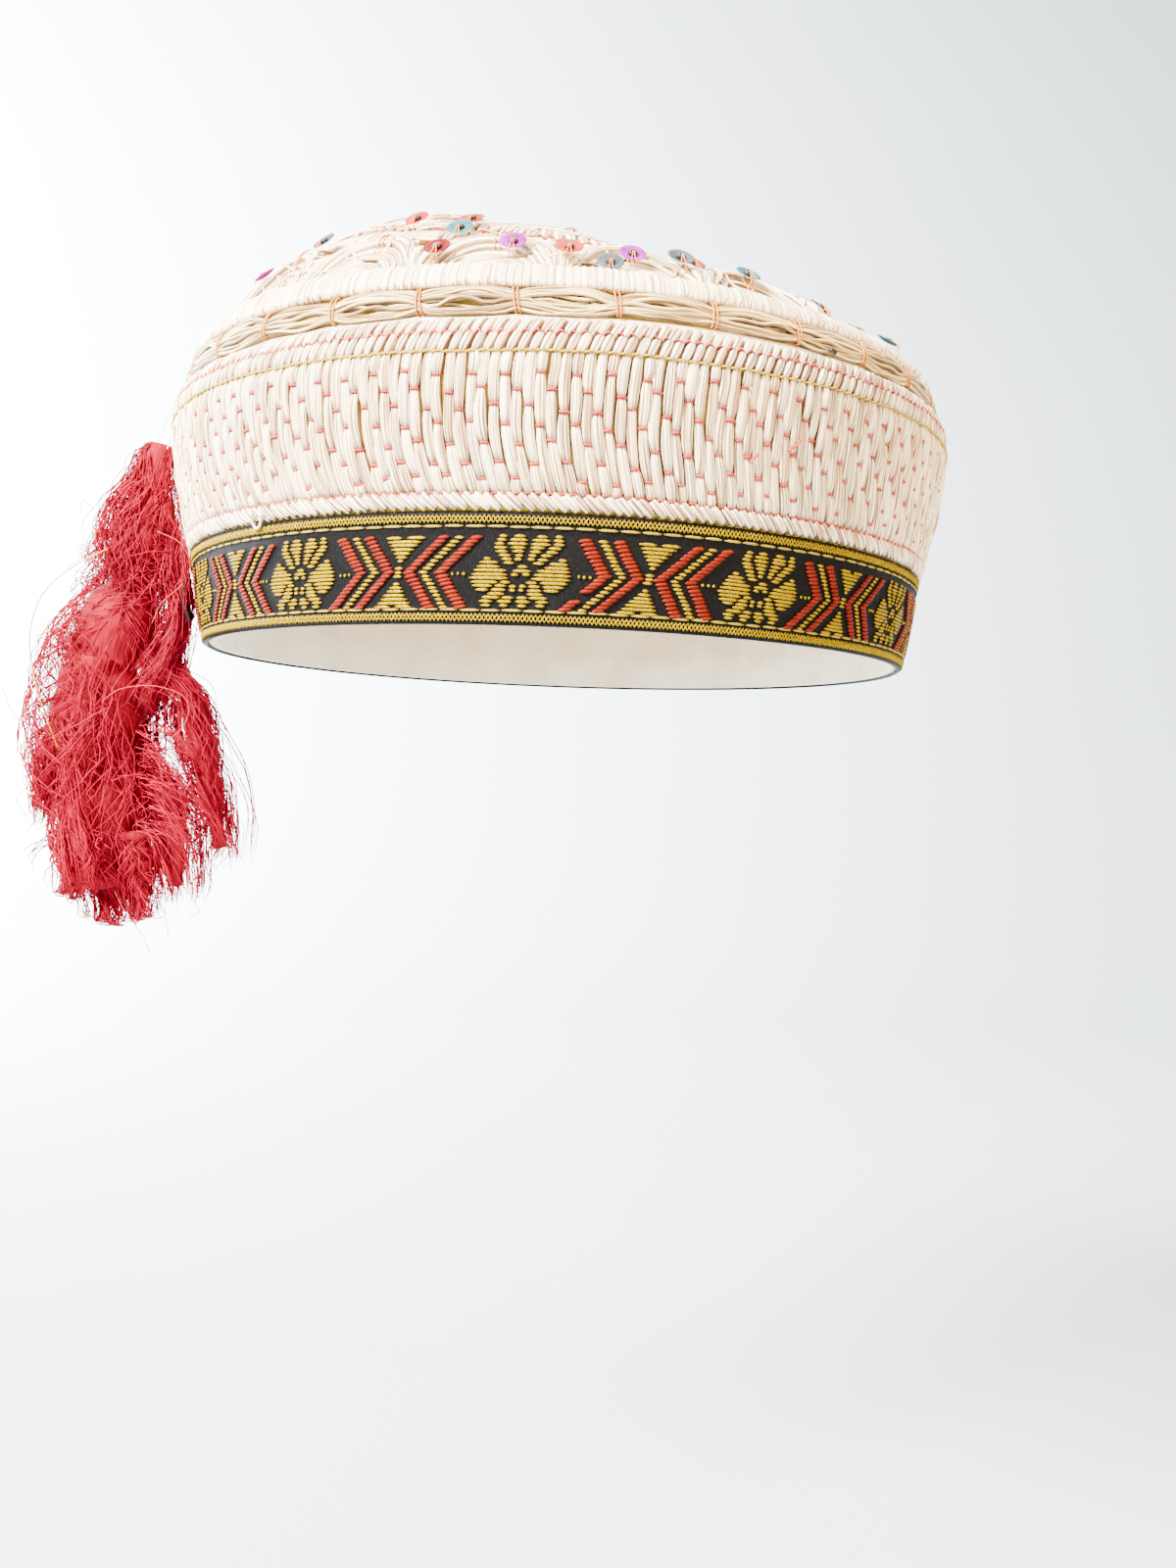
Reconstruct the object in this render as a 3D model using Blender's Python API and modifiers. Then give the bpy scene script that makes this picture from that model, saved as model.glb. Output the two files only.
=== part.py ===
"""Tubeteika skullcap: an embroidered oval wall with a woven ribbon round its rim, a domed crown
with a rope of loose floss, a padded ring, raised arches and sequins, and a red floss tassel.

Metres, +Z up, -Y is the front. The origin is the middle of the rim's plane, where the head goes in.
"""

import math

import bmesh
import bpy
from mathutils import Matrix, Vector
from mathutils.bvhtree import BVHTree

MM = 0.001

# Rim, ribbon and wall
RIM_HALF_WIDTH = 82.0 * MM  # middle of the rim to the ribbon's outside, at the sides
OVAL_EXTRA = 12.0 * MM  # front and back reach this much further than the sides
RIBBON_HEIGHT = 20.2 * MM
RIBBON_THICKNESS = 1.0 * MM
RIBBON_FLARE = 3.2 * MM  # how far the ribbon's top leans outward
RIBBON_BULGE = 0.3 * MM
WALL_HEIGHT = 55.2 * MM
WALL_FLARE = 8.75 * MM  # how far the wall's widest line stands outside the rim
WALL_THICKNESS = 3.0 * MM
WALL_THIN = 2.0 * MM  # the wall behind the ribbon
SEAM_GAP = 0.3 * MM
WALL_STEPS = 64

# The embroidered part of the wall: share of its height, share of its flare
WALL_ROWS = [
    {"height": 0.423, "flare": 0.526},
    {"height": 0.543, "flare": 0.709},
    {"height": 0.688, "flare": 0.880},
    {"height": 0.815, "flare": 0.983},
    {"height": 0.873, "flare": 1.000},
    {"height": 0.935, "flare": 0.970},
    {"height": 0.976, "flare": 0.865},
    {"height": 1.000, "flare": 0.670},
]
WALL_LIP_FLARE = 0.446  # the embroidery's lower edge, just over the ribbon

# Crown: its cloth is a dome over the oval, its peak pushed to one side, with a rounded shoulder
CROWN_OVERHANG = 4.2 * MM  # how far the crown's edge stands outside the rim
CROWN_HALF_WIDTH = RIM_HALF_WIDTH + CROWN_OVERHANG
CROWN_RISE = 38.0 * MM
CROWN_SHOULDER = 6.0 * MM
SHOULDER_WIDTH = 0.05  # share of the way from the rim to the middle
CROWN_THICKNESS = 2.2 * MM
PEAK_TO_LEFT = 38.0 * MM  # the worn cap's peak leans this far from the middle
PEAK_TO_FRONT = 3.5 * MM
PEAK_ROUNDING = 0.4
CROWN_CONE = 1.108
CROWN_FULLNESS = 0.916
CROWN_STEPS = 72
CROWN_OUTSIDE = [0, 0.06, 0.16, 0.28, 0.40, 0.52, 0.62, 0.71, 0.78, 0.83, 0.88, 0.92, 0.945, 0.965, 0.985, 0.996, 1]
CROWN_INSIDE = [1, 0.98, 0.94, 0.84, 0.66, 0.44, 0.20, 0]

# Raised arches of padded floss, and the rosette in the middle: reach is the share of the way to the rim
ARCHES = 18
ARCH_TURN = math.radians(-61)
ARCH_FOOT = 0.920
ARCH_DEPTH = 0.115
ARCH_WIDTH = 0.034
ARCH_HEIGHT = 2.0 * MM
RELIEF_END = 0.942
ROSETTE_PETALS = 8
ROSETTE_REACH = 0.40
ROSETTE_WIDTH = 0.16
ROSETTE_HEIGHT = 1.4 * MM
BUTTON_REACH = 0.06
BUTTON_HEIGHT = 1.2 * MM

# Rope of floss on the crown's edge, tied down at even steps, and the padded ring inside it
ROPE_TIES = 30
ROPE_STEPS = 90
ROPE_HEIGHT = 2.5 * MM
ROPE_DIP = 0.30  # how much lower the rope is at a tie
ROPE_INNER = 0.9908
ROPE_OUTER = 0.99995
RING_HEIGHT = 2.1 * MM
RING_INNER = 0.952
RING_OUTER = 0.9888
RING_STEPS = 72

# Sequins
SEQUIN_RADIUS = 2.6 * MM
SEQUIN_THICKNESS = 0.45 * MM
SEQUIN_CUP = 0.35 * MM
BEAD_RADIUS = 0.95 * MM
BEAD_HEIGHT = 1.1 * MM
SEQUIN_SIDES = 8
SEQUINS = [
    {"turn": -138, "reach": 0.78, "colour": "grey"},
    {"turn": -124, "reach": 0.65, "colour": "coral"},
    {"turn": -110, "reach": 0.73, "colour": "teal"},
    {"turn": -108, "reach": 0.91, "colour": "red"},
    {"turn": -112, "reach": 0.62, "colour": "coral"},
    {"turn": -98, "reach": 0.87, "colour": "magenta"},
    {"turn": -90, "reach": 0.91, "colour": "coral"},
    {"turn": -84.5, "reach": 0.92, "colour": "grey"},
    {"turn": -81, "reach": 0.87, "colour": "magenta"},
    {"turn": -74, "reach": 0.87, "colour": "grey"},
    {"turn": -61, "reach": 0.83, "colour": "teal"},
    {"turn": -41, "reach": 0.80, "colour": "red"},
    {"turn": -31, "reach": 0.84, "colour": "grey"},
    {"turn": -29, "reach": 0.905, "colour": "teal"},
]
# The far side repeats the colours in turn, one sequin to an arch, then a ring round the rosette
FAR_COLOURS = ["magenta", "teal", "coral", "red", "grey"]
FAR_FIRST_ARCH = 3
FAR_ARCHES = 11
FAR_REACH = 0.81
INNER_SEQUINS = 6
INNER_REACH = 0.60
INNER_FIRST_TURN = -60
INNER_STEP = 36

# Tassel: red floss hanging from the wall on the left
TASSEL_TOP = 50.0 * MM
TASSEL_DROP = 111.5 * MM
TASSEL_SPREAD = 33.0 * MM
TASSEL_OUT = 7.0 * MM  # how far its middle line stands outside the rim
TASSEL_ROOT = -(RIM_HALF_WIDTH + TASSEL_OUT)
TASSEL_FORWARD = -8.0 * MM
TASSEL_RADIUS = 15.0 * MM
TASSEL_FLATNESS = 0.8  # depth over width
# Each lock: how far it lies forward in shares of the radius, then its stations from the top,
# as shares of the spread outward, of the drop, and of the radius
LOCKS = [
    {"lock": "mass", "forward": 0.0, "stations": [
        (0.17, 0.02, 0.26), (0.23, 0.11, 0.44), (0.31, 0.22, 0.61), (0.31, 0.33, 0.60), (0.49, 0.43, 0.95),
        (0.55, 0.56, 0.98), (0.55, 0.70, 0.95), (0.48, 0.84, 0.82), (0.38, 0.96, 0.42)]},
    {"lock": "cord", "forward": 0.1, "stations": [
        (0.11, 0.14, 0.16), (0.03, 0.26, 0.20), (-0.04, 0.38, 0.25), (0.06, 0.49, 0.32), (0.22, 0.58, 0.30)]},
    {"lock": "left_tip", "forward": -0.1, "stations": [
        (0.62, 0.55, 0.50), (0.84, 0.67, 0.42), (0.90, 0.785, 0.16)]},
    {"lock": "bottom_left", "forward": 0.2, "stations": [
        (0.60, 0.78, 0.50), (0.66, 0.87, 0.38), (0.66, 0.945, 0.14)]},
    {"lock": "bottom_middle", "forward": -0.2, "stations": [
        (0.42, 0.86, 0.52), (0.43, 0.94, 0.42), (0.42, 1.00, 0.20)]},
    {"lock": "bottom_right", "forward": 0.1, "stations": [
        (0.26, 0.84, 0.48), (0.22, 0.92, 0.38), (0.17, 0.985, 0.15)]},
    {"lock": "right_middle", "forward": -0.1, "stations": [
        (0.26, 0.68, 0.40), (0.02, 0.79, 0.40), (-0.06, 0.955, 0.15)]},
    {"lock": "right_outer", "forward": 0.0, "stations": [
        (0.24, 0.45, 0.32), (-0.10, 0.53, 0.28), (-0.22, 0.68, 0.36), (-0.36, 0.87, 0.15)]},
    {"lock": "front", "forward": 0.5, "stations": [
        (0.52, 0.48, 0.40), (0.60, 0.66, 0.42), (0.56, 0.84, 0.34), (0.54, 0.95, 0.14)]},
    {"lock": "back", "forward": -0.5, "stations": [
        (0.44, 0.48, 0.40), (0.36, 0.66, 0.44), (0.34, 0.84, 0.34), (0.30, 0.97, 0.14)]},
]

COLOURS = {
    "floss": (0.86, 0.77, 0.62),
    "ribbon": (0.045, 0.045, 0.05),
    "rope": (0.80, 0.68, 0.50),
    "padding": (0.92, 0.87, 0.78),
    "tassel": (0.72, 0.02, 0.06),
    "magenta": (0.62, 0.16, 0.66),
    "teal": (0.20, 0.48, 0.55),
    "red": (0.50, 0.05, 0.04),
    "coral": (0.72, 0.24, 0.22),
    "grey": (0.36, 0.40, 0.42),
}


def material(name):
    found = bpy.data.materials.get(name)
    if found:
        return found
    made = bpy.data.materials.new(name)
    made.use_nodes = True
    shader = made.node_tree.nodes["Principled BSDF"]
    shader.inputs["Base Color"].default_value = (*COLOURS[name], 1)
    shader.inputs["Roughness"].default_value = 0.6
    return made


def own_collection(name, hidden=False):
    group = bpy.data.collections.new(name)
    bpy.context.scene.collection.children.link(group)
    group.hide_render = hidden
    return group


def finish(name, mesh, colour, group):
    """Make a mesh into a named, smooth, outward-facing object of the cap."""
    work = bmesh.new()
    work.from_mesh(mesh)
    bmesh.ops.triangulate(work, faces=work.faces)
    bmesh.ops.recalc_face_normals(work, faces=work.faces)
    work.to_mesh(mesh)
    work.free()
    mesh.name = name
    mesh.materials.clear()
    mesh.materials.append(material(colour))
    for face in mesh.polygons:
        face.use_smooth = True
    part = bpy.data.objects.new(name, mesh)
    group.objects.link(part)
    return part


def evaluated(source):
    """The mesh of an object with its modifiers applied; the object goes."""
    graph = bpy.context.evaluated_depsgraph_get()
    mesh = bpy.data.meshes.new_from_object(source.evaluated_get(graph), depsgraph=graph)
    bpy.data.objects.remove(source)
    return mesh


def spun(section, steps, closed=True):
    """Turn a section of (radius, height) points once round Z."""
    mesh = bpy.data.meshes.new("section")
    count = len(section)
    edges = [(i, i + 1) for i in range(count - 1)]
    if closed:
        edges.append((count - 1, 0))
    mesh.from_pydata([(radius, 0, height) for radius, height in section], edges, [])
    holder = bpy.data.objects.new("section", mesh)
    bpy.context.scene.collection.objects.link(holder)
    turn = holder.modifiers.new("turn", "SCREW")
    turn.axis = "Z"
    turn.angle = math.tau
    turn.steps = steps
    turn.render_steps = steps
    turn.use_merge_vertices = True
    turn.merge_threshold = 0.00001
    return evaluated(holder)


def make_oval(mesh):
    """Push a round band out in front and behind, so that it becomes the cap's oval."""
    for vertex in mesh.vertices:
        radius = math.hypot(vertex.co.x, vertex.co.y)
        vertex.co.y += OVAL_EXTRA * vertex.co.y / radius


def smooth_step(start, end, at):
    share = min(1, max(0, (at - start) / (end - start)))
    return share * share * (3 - 2 * share)


def ribbon_outside(height):
    """Half width of the ribbon's outside at a height over the rim."""
    share = height / RIBBON_HEIGHT
    bulge = RIBBON_BULGE * 4 * share * (1 - share)
    return RIM_HALF_WIDTH + RIBBON_FLARE * share + bulge


def dome_height(x, y):
    """Height of the crown's cloth over a point of the oval."""
    half_x = CROWN_HALF_WIDTH
    half_y = CROWN_HALF_WIDTH + OVAL_EXTRA
    level = math.hypot(x / half_x, y / half_y)
    # Share of the way from the peak to the rim, along the line through the point
    away_x = x + PEAK_TO_LEFT
    away_y = y + PEAK_TO_FRONT
    square = (away_x / half_x) ** 2 + (away_y / half_y) ** 2 + 1e-12
    mixed = -PEAK_TO_LEFT * away_x / half_x**2 - PEAK_TO_FRONT * away_y / half_y**2
    rest = (PEAK_TO_LEFT / half_x) ** 2 + (PEAK_TO_FRONT / half_y) ** 2 - 1
    share = min(1, square / (math.sqrt(mixed**2 - square * rest) - mixed))
    blunt = math.hypot(share, PEAK_ROUNDING) - PEAK_ROUNDING
    blunt = min(1, blunt / (math.hypot(1, PEAK_ROUNDING) - PEAK_ROUNDING))
    rise = CROWN_RISE * (1 - blunt**CROWN_CONE) ** CROWN_FULLNESS
    inward = min(1, max(0, (1 - level) / SHOULDER_WIDTH))
    return WALL_HEIGHT + SEAM_GAP + rise + CROWN_SHOULDER * math.sqrt(1 - (1 - inward) ** 2)


def dome_point(reach, turn):
    """A point of the crown's cloth: reach 0 is the middle of the cap, 1 the rim."""
    x = CROWN_HALF_WIDTH * reach * math.cos(turn)
    y = (CROWN_HALF_WIDTH + OVAL_EXTRA) * reach * math.sin(turn)
    return Vector((x, y, dome_height(x, y)))


def dome_normal(reach, turn):
    if reach >= 1:
        return Vector((math.cos(turn), math.sin(turn), 0))
    point = dome_point(reach, turn)
    step = 0.3 * MM
    if reach > 0.9:
        step = min(0.002, (1 - reach) / 2)
        down = dome_point(reach + step, turn) - dome_point(reach - step, turn)
        along = dome_point(reach, turn + 0.01) - dome_point(reach, turn - 0.01)
        return down.cross(along).normalized()
    slope_x = (dome_height(point.x + step, point.y) - dome_height(point.x - step, point.y)) / step / 2
    slope_y = (dome_height(point.x, point.y + step) - dome_height(point.x, point.y - step)) / step / 2
    return Vector((-slope_x, -slope_y, 1)).normalized()


def relief(reach, turn):
    """Height of the arches, the rosette and the button over the crown's cloth."""
    swing = abs(math.cos(ARCHES / 2 * (turn - ARCH_TURN))) ** 0.7
    ridge = ARCH_FOOT - ARCH_DEPTH * swing
    arch = ARCH_HEIGHT * math.exp(-(((reach - ridge) / ARCH_WIDTH) ** 2))
    petal = 0.5 + 0.5 * math.cos(ROSETTE_PETALS * turn)
    rosette = ROSETTE_HEIGHT * petal * math.exp(-(((reach - ROSETTE_REACH) / ROSETTE_WIDTH) ** 2))
    button = BUTTON_HEIGHT * math.exp(-((reach / BUTTON_REACH) ** 2))
    return (arch + rosette + button) * (1 - smooth_step(ARCH_FOOT, RELIEF_END, reach))


def on_crown(reach, turn, over):
    """A point at a height over the crown's padding."""
    return dome_point(reach, turn) + (over + relief(reach, turn)) * dome_normal(reach, turn)


def under_crown(reach, turn):
    """A point of the crown's inside, moved in from the rim and down from the dome."""
    keep = 1 - CROWN_THICKNESS / CROWN_HALF_WIDTH
    point = dome_point(reach, turn)
    drop = CROWN_THICKNESS * smooth_step(1, 0.95, reach)
    return Vector((point.x * keep, point.y * keep, point.z - drop))


def wrap_on_crown(mesh, lift=None):
    """Lay a flat spun disc or ring, its radius the reach, over the crown."""
    for vertex in mesh.vertices:
        reach = math.hypot(vertex.co.x, vertex.co.y)
        turn = math.atan2(vertex.co.y, vertex.co.x)
        over = vertex.co.z
        if lift:
            over = lift(over, turn)
        if over < 0:
            vertex.co = under_crown(reach, turn)
        else:
            vertex.co = on_crown(reach, turn, over)


def build_wall(group):
    thin_back = RIBBON_THICKNESS + SEAM_GAP
    low = 0.5 * MM
    step = RIBBON_HEIGHT + SEAM_GAP
    section = [
        (ribbon_outside(low) - thin_back, low),
        (ribbon_outside(RIBBON_HEIGHT / 2) - thin_back, RIBBON_HEIGHT / 2),
        (ribbon_outside(RIBBON_HEIGHT) - thin_back, step),
        (RIM_HALF_WIDTH + WALL_FLARE * WALL_LIP_FLARE, step + SEAM_GAP),
    ]
    for row in WALL_ROWS:
        section.append((RIM_HALF_WIDTH + WALL_FLARE * row["flare"], WALL_HEIGHT * row["height"]))
    top = WALL_ROWS[-1]
    section.append((RIM_HALF_WIDTH + WALL_FLARE * top["flare"] - WALL_THICKNESS, WALL_HEIGHT))
    for row in (WALL_ROWS[5], WALL_ROWS[2], WALL_ROWS[0]):
        inside = RIM_HALF_WIDTH + WALL_FLARE * row["flare"] - WALL_THICKNESS
        section.append((inside, WALL_HEIGHT * row["height"]))
    section.append((ribbon_outside(low) - thin_back - WALL_THIN, low))
    mesh = spun(section, WALL_STEPS)
    make_oval(mesh)
    finish("side_wall", mesh, "floss", group)


def build_ribbon(group):
    heights = [0, RIBBON_HEIGHT / 2, RIBBON_HEIGHT]
    section = [(ribbon_outside(height), height) for height in heights]
    section += [(ribbon_outside(height) - RIBBON_THICKNESS, height) for height in reversed(heights)]
    mesh = spun(section, WALL_STEPS)
    make_oval(mesh)
    finish("rim_ribbon", mesh, "ribbon", group)


def build_crown(group):
    section = [(reach, 0) for reach in CROWN_OUTSIDE]
    section += [(reach, -CROWN_THICKNESS) for reach in CROWN_INSIDE]
    mesh = spun(section, CROWN_STEPS, closed=False)
    wrap_on_crown(mesh)
    return finish("crown", mesh, "floss", group)


def arched_section(inner, outer, height, tops):
    """A low arch over the cloth: flat under, rounded over."""
    section = [(inner, SEAM_GAP)]
    for i in range(tops):
        angle = math.pi * (i + 0.5) / tops
        reach = (inner + outer) / 2 - (outer - inner) / 2 * math.cos(angle)
        section.append((reach, SEAM_GAP + height * math.sin(angle) ** 0.7))
    section.append((outer, SEAM_GAP))
    section.append(((inner + outer) / 2, SEAM_GAP))
    return section


def build_rings(group):
    def tied(over, turn):
        if over <= SEAM_GAP * 1.01:
            return over
        at_tie = 0.5 + 0.5 * math.cos(ROPE_TIES * turn)
        return SEAM_GAP + (over - SEAM_GAP) * (1 - ROPE_DIP * at_tie)

    mesh = spun(arched_section(ROPE_INNER, ROPE_OUTER, ROPE_HEIGHT, 4), ROPE_STEPS)
    wrap_on_crown(mesh, tied)
    finish("edge_floss_ring", mesh, "rope", group)
    mesh = spun(arched_section(RING_INNER, RING_OUTER, RING_HEIGHT, 5), RING_STEPS)
    wrap_on_crown(mesh)
    finish("padded_ring", mesh, "padding", group)


def sequin_places():
    places = [(row["turn"], row["reach"], row["colour"]) for row in SEQUINS]
    arch_step = 360 / ARCHES
    for i in range(FAR_ARCHES):
        turn = math.degrees(ARCH_TURN) + arch_step * (FAR_FIRST_ARCH + i)
        places.append((turn, FAR_REACH, FAR_COLOURS[i % len(FAR_COLOURS)]))
    for i in range(INNER_SEQUINS):
        turn = INNER_FIRST_TURN + INNER_STEP * i
        places.append((turn, INNER_REACH, FAR_COLOURS[(i + 2) % len(FAR_COLOURS)]))
    places.append((0, 0, "magenta"))
    return places


def sequin_lift(surface, centre, side, ahead, up):
    """How far along its axis a sequin has to stand off to rest on the padding under it."""
    reach = 10 * MM
    lift = -reach
    for ring in (0, 0.2, 0.4, 0.6, 0.8, 1):
        for i in range(3 * SEQUIN_SIDES):
            angle = math.tau * i / (3 * SEQUIN_SIDES)
            across = SEQUIN_RADIUS * ring * (math.cos(angle) * side + math.sin(angle) * ahead)
            hit = surface.ray_cast(centre + across + reach * up, -up, 2 * reach)
            if hit[0] is not None:
                lift = max(lift, (hit[0] - centre).dot(up) - SEQUIN_CUP * ring)
    return lift


def build_sequins(group, crown):
    """Cupped discs with a bead in the middle, each resting on the padding under it."""
    section = [
        (0, BEAD_HEIGHT),
        (BEAD_RADIUS, SEQUIN_THICKNESS),
        (SEQUIN_RADIUS, SEQUIN_THICKNESS + SEQUIN_CUP),
        (SEQUIN_RADIUS, SEQUIN_CUP),
        (0, 0),
    ]
    pattern = spun(section, SEQUIN_SIDES, closed=False)
    surface = BVHTree.FromPolygons(
        [vertex.co for vertex in crown.data.vertices], [list(face.vertices) for face in crown.data.polygons]
    )
    for number, (degrees, reach, colour) in enumerate(sequin_places(), 1):
        turn = math.radians(degrees)
        centre = on_crown(reach, turn, 0)
        up = (dome_normal(reach, turn) + Vector((0, 0, 0.6))).normalized()
        side = up.cross(Vector((0, 1, 0))).normalized()
        ahead = up.cross(side)
        frame = Matrix((side, ahead, up)).transposed().to_4x4()
        frame.translation = centre + (sequin_lift(surface, centre, side, ahead, up) + SEAM_GAP) * up
        mesh = pattern.copy()
        mesh.transform(frame)
        finish(f"sequin_{number:02d}", mesh, colour, group)
    bpy.data.meshes.remove(pattern)


def lock_tube(row):
    """One lock: a rounded, tapered tube through its stations, with filled ends."""
    curve = bpy.data.curves.new(row["lock"], "CURVE")
    curve.dimensions = "3D"
    curve.bevel_depth = TASSEL_RADIUS
    curve.bevel_resolution = 2
    curve.use_fill_caps = True
    curve.resolution_u = 2
    path = curve.splines.new("BEZIER")
    path.bezier_points.add(len(row["stations"]) - 1)
    for point, (outward, drop, thick) in zip(path.bezier_points, row["stations"]):
        point.co = (
            TASSEL_ROOT - outward * TASSEL_SPREAD,
            TASSEL_FORWARD - row["forward"] * TASSEL_RADIUS,
            TASSEL_TOP - drop * TASSEL_DROP,
        )
        point.radius = thick
        point.handle_left_type = "AUTO"
        point.handle_right_type = "AUTO"
    holder = bpy.data.objects.new(row["lock"], curve)
    bpy.context.scene.collection.objects.link(holder)
    bpy.context.view_layer.update()
    mesh = evaluated(holder)
    for vertex in mesh.vertices:
        vertex.co.y = TASSEL_FORWARD + (vertex.co.y - TASSEL_FORWARD) * TASSEL_FLATNESS
    work = bmesh.new()
    work.from_mesh(mesh)
    bmesh.ops.remove_doubles(work, verts=work.verts, dist=0.00001)
    bmesh.ops.recalc_face_normals(work, faces=work.faces)
    work.to_mesh(mesh)
    work.free()
    return mesh


def build_tassel(group, cutters):
    """The locks run into each other under the head, so they are joined into one body."""
    meshes = [lock_tube(row) for row in LOCKS]
    body = bpy.data.objects.new("tassel_body", meshes[0])
    bpy.context.scene.collection.objects.link(body)
    for mesh in meshes[1:]:
        lock = bpy.data.objects.new(mesh.name, mesh)
        lock.display_type = "WIRE"
        cutters.objects.link(lock)
        join = body.modifiers.new("join", "BOOLEAN")
        join.operation = "UNION"
        join.solver = "EXACT"
        join.use_self = True
        join.object = lock
    bpy.context.view_layer.update()
    mesh = evaluated(body)
    finish("tassel", mesh, "tassel", group)


def main():
    for old in list(bpy.data.objects):
        bpy.data.objects.remove(old)
    cap = own_collection("tubeteika_skullcap")
    cutters = own_collection("cutters", hidden=True)
    build_wall(cap)
    build_ribbon(cap)
    crown = build_crown(cap)
    build_rings(cap)
    build_sequins(cap, crown)
    build_tassel(cap, cutters)


main()
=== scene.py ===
"""Looks for the tubeteika skullcap: couched floss, woven ribbon, floss rope, sequins and tassel.

Shapes are worked out in millimetres, in the frame of the CAD model, and stored in metres.
"""

import math

import bmesh
import bpy
import numpy as np
from mathutils import Matrix, Vector


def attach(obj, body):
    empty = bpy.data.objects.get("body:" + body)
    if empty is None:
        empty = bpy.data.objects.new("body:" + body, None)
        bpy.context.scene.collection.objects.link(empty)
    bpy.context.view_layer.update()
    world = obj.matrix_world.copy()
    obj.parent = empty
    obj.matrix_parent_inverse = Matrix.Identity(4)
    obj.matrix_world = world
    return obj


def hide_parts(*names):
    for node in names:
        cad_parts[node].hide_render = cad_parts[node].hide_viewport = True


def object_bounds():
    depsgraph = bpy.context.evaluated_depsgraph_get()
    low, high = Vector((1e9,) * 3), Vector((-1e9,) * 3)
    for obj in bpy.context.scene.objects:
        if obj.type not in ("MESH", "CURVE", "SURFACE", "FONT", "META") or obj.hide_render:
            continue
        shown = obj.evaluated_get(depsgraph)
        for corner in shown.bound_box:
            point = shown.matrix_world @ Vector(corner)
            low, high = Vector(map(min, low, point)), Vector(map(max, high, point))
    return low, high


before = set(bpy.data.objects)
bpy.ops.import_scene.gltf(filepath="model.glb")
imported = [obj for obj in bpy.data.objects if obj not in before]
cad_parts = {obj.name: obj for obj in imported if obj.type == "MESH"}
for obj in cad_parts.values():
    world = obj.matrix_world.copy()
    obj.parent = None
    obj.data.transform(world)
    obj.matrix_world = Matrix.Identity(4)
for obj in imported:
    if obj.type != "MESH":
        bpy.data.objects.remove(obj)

CAD_LOW, CAD_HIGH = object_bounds()
MM = 0.001
TAU = math.tau
BODY = "root"

# ---------------------------------------------------------------- the cap's shape, as in the CAD, in mm
RIM = 82.0
OVAL_EXTRA = 12.0
RIBBON_HEIGHT = 20.2
RIBBON_FLARE = 3.2
RIBBON_BULGE = 0.3
WALL_HEIGHT = 55.2
WALL_Z = [0.0, 20.8, 23.35, 30.0, 38.0, 45.0, 48.2, 51.6, 53.9, 55.2]
WALL_A = [81.0, 85.9, 86.6, 88.2, 89.7, 90.6, 90.75, 90.5, 89.6, 87.9]
SEAM_GAP = 0.3

CROWN_HALF_X = 86.2
CROWN_HALF_Y = CROWN_HALF_X + OVAL_EXTRA
CROWN_RISE = 38.0
CROWN_SHOULDER = 6.0
SHOULDER_WIDTH = 0.05
CROWN_THICKNESS = 2.2
PEAK_TO_LEFT = 38.0
PEAK_TO_FRONT = 3.5
PEAK_ROUNDING = 0.4
CROWN_CONE = 1.108
CROWN_FULLNESS = 0.916
ARCHES = 18
ARCH_TURN = math.radians(-61)
ARCH_FOOT = 0.920
ARCH_DEPTH = 0.115
ARCH_WIDTH = 0.034
ARCH_HEIGHT = 2.0
RELIEF_END = 0.942
ROSETTE_PETALS = 8
ROSETTE_REACH = 0.40
ROSETTE_WIDTH = 0.16
ROSETTE_HEIGHT = 1.4
BUTTON_REACH = 0.06
BUTTON_HEIGHT = 1.2
ROPE_TIES = 30
RING_HEIGHT = 2.1
CROWN_MEAN = 92  # mean of the crown's half width and half length

TASSEL_TOP = 50.0
TASSEL_DROP = 111.5
TASSEL_SPREAD = 33.0
TASSEL_ROOT = -89.0
TASSEL_FORWARD = -8.0
TASSEL_RADIUS = 15.0
TASSEL_FLATNESS = 0.8
LOCKS = [
    (0.0, [(0.17, 0.02, 0.26), (0.23, 0.11, 0.44), (0.31, 0.22, 0.61), (0.31, 0.33, 0.60),
           (0.49, 0.43, 0.95), (0.55, 0.56, 0.98), (0.55, 0.70, 0.95), (0.48, 0.84, 0.82),
           (0.38, 0.96, 0.42)]),
    (0.1, [(0.11, 0.14, 0.16), (0.03, 0.26, 0.20), (-0.04, 0.38, 0.25), (0.06, 0.49, 0.32),
           (0.22, 0.58, 0.30)]),
    (-0.1, [(0.62, 0.55, 0.50), (0.84, 0.67, 0.42), (0.90, 0.785, 0.16)]),
    (0.2, [(0.60, 0.78, 0.50), (0.66, 0.87, 0.38), (0.66, 0.945, 0.14)]),
    (-0.2, [(0.42, 0.86, 0.52), (0.43, 0.94, 0.42), (0.42, 1.00, 0.20)]),
    (0.1, [(0.26, 0.84, 0.48), (0.22, 0.92, 0.38), (0.17, 0.985, 0.15)]),
    (-0.1, [(0.26, 0.68, 0.40), (0.02, 0.79, 0.40), (-0.06, 0.955, 0.15)]),
    (0.0, [(0.24, 0.45, 0.32), (-0.10, 0.53, 0.28), (-0.22, 0.68, 0.36), (-0.36, 0.87, 0.15)]),
    (0.5, [(0.52, 0.48, 0.40), (0.60, 0.66, 0.42), (0.56, 0.84, 0.34), (0.54, 0.95, 0.14)]),
    (-0.5, [(0.44, 0.48, 0.40), (0.36, 0.66, 0.44), (0.34, 0.84, 0.34), (0.30, 0.97, 0.14)]),
]

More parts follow.
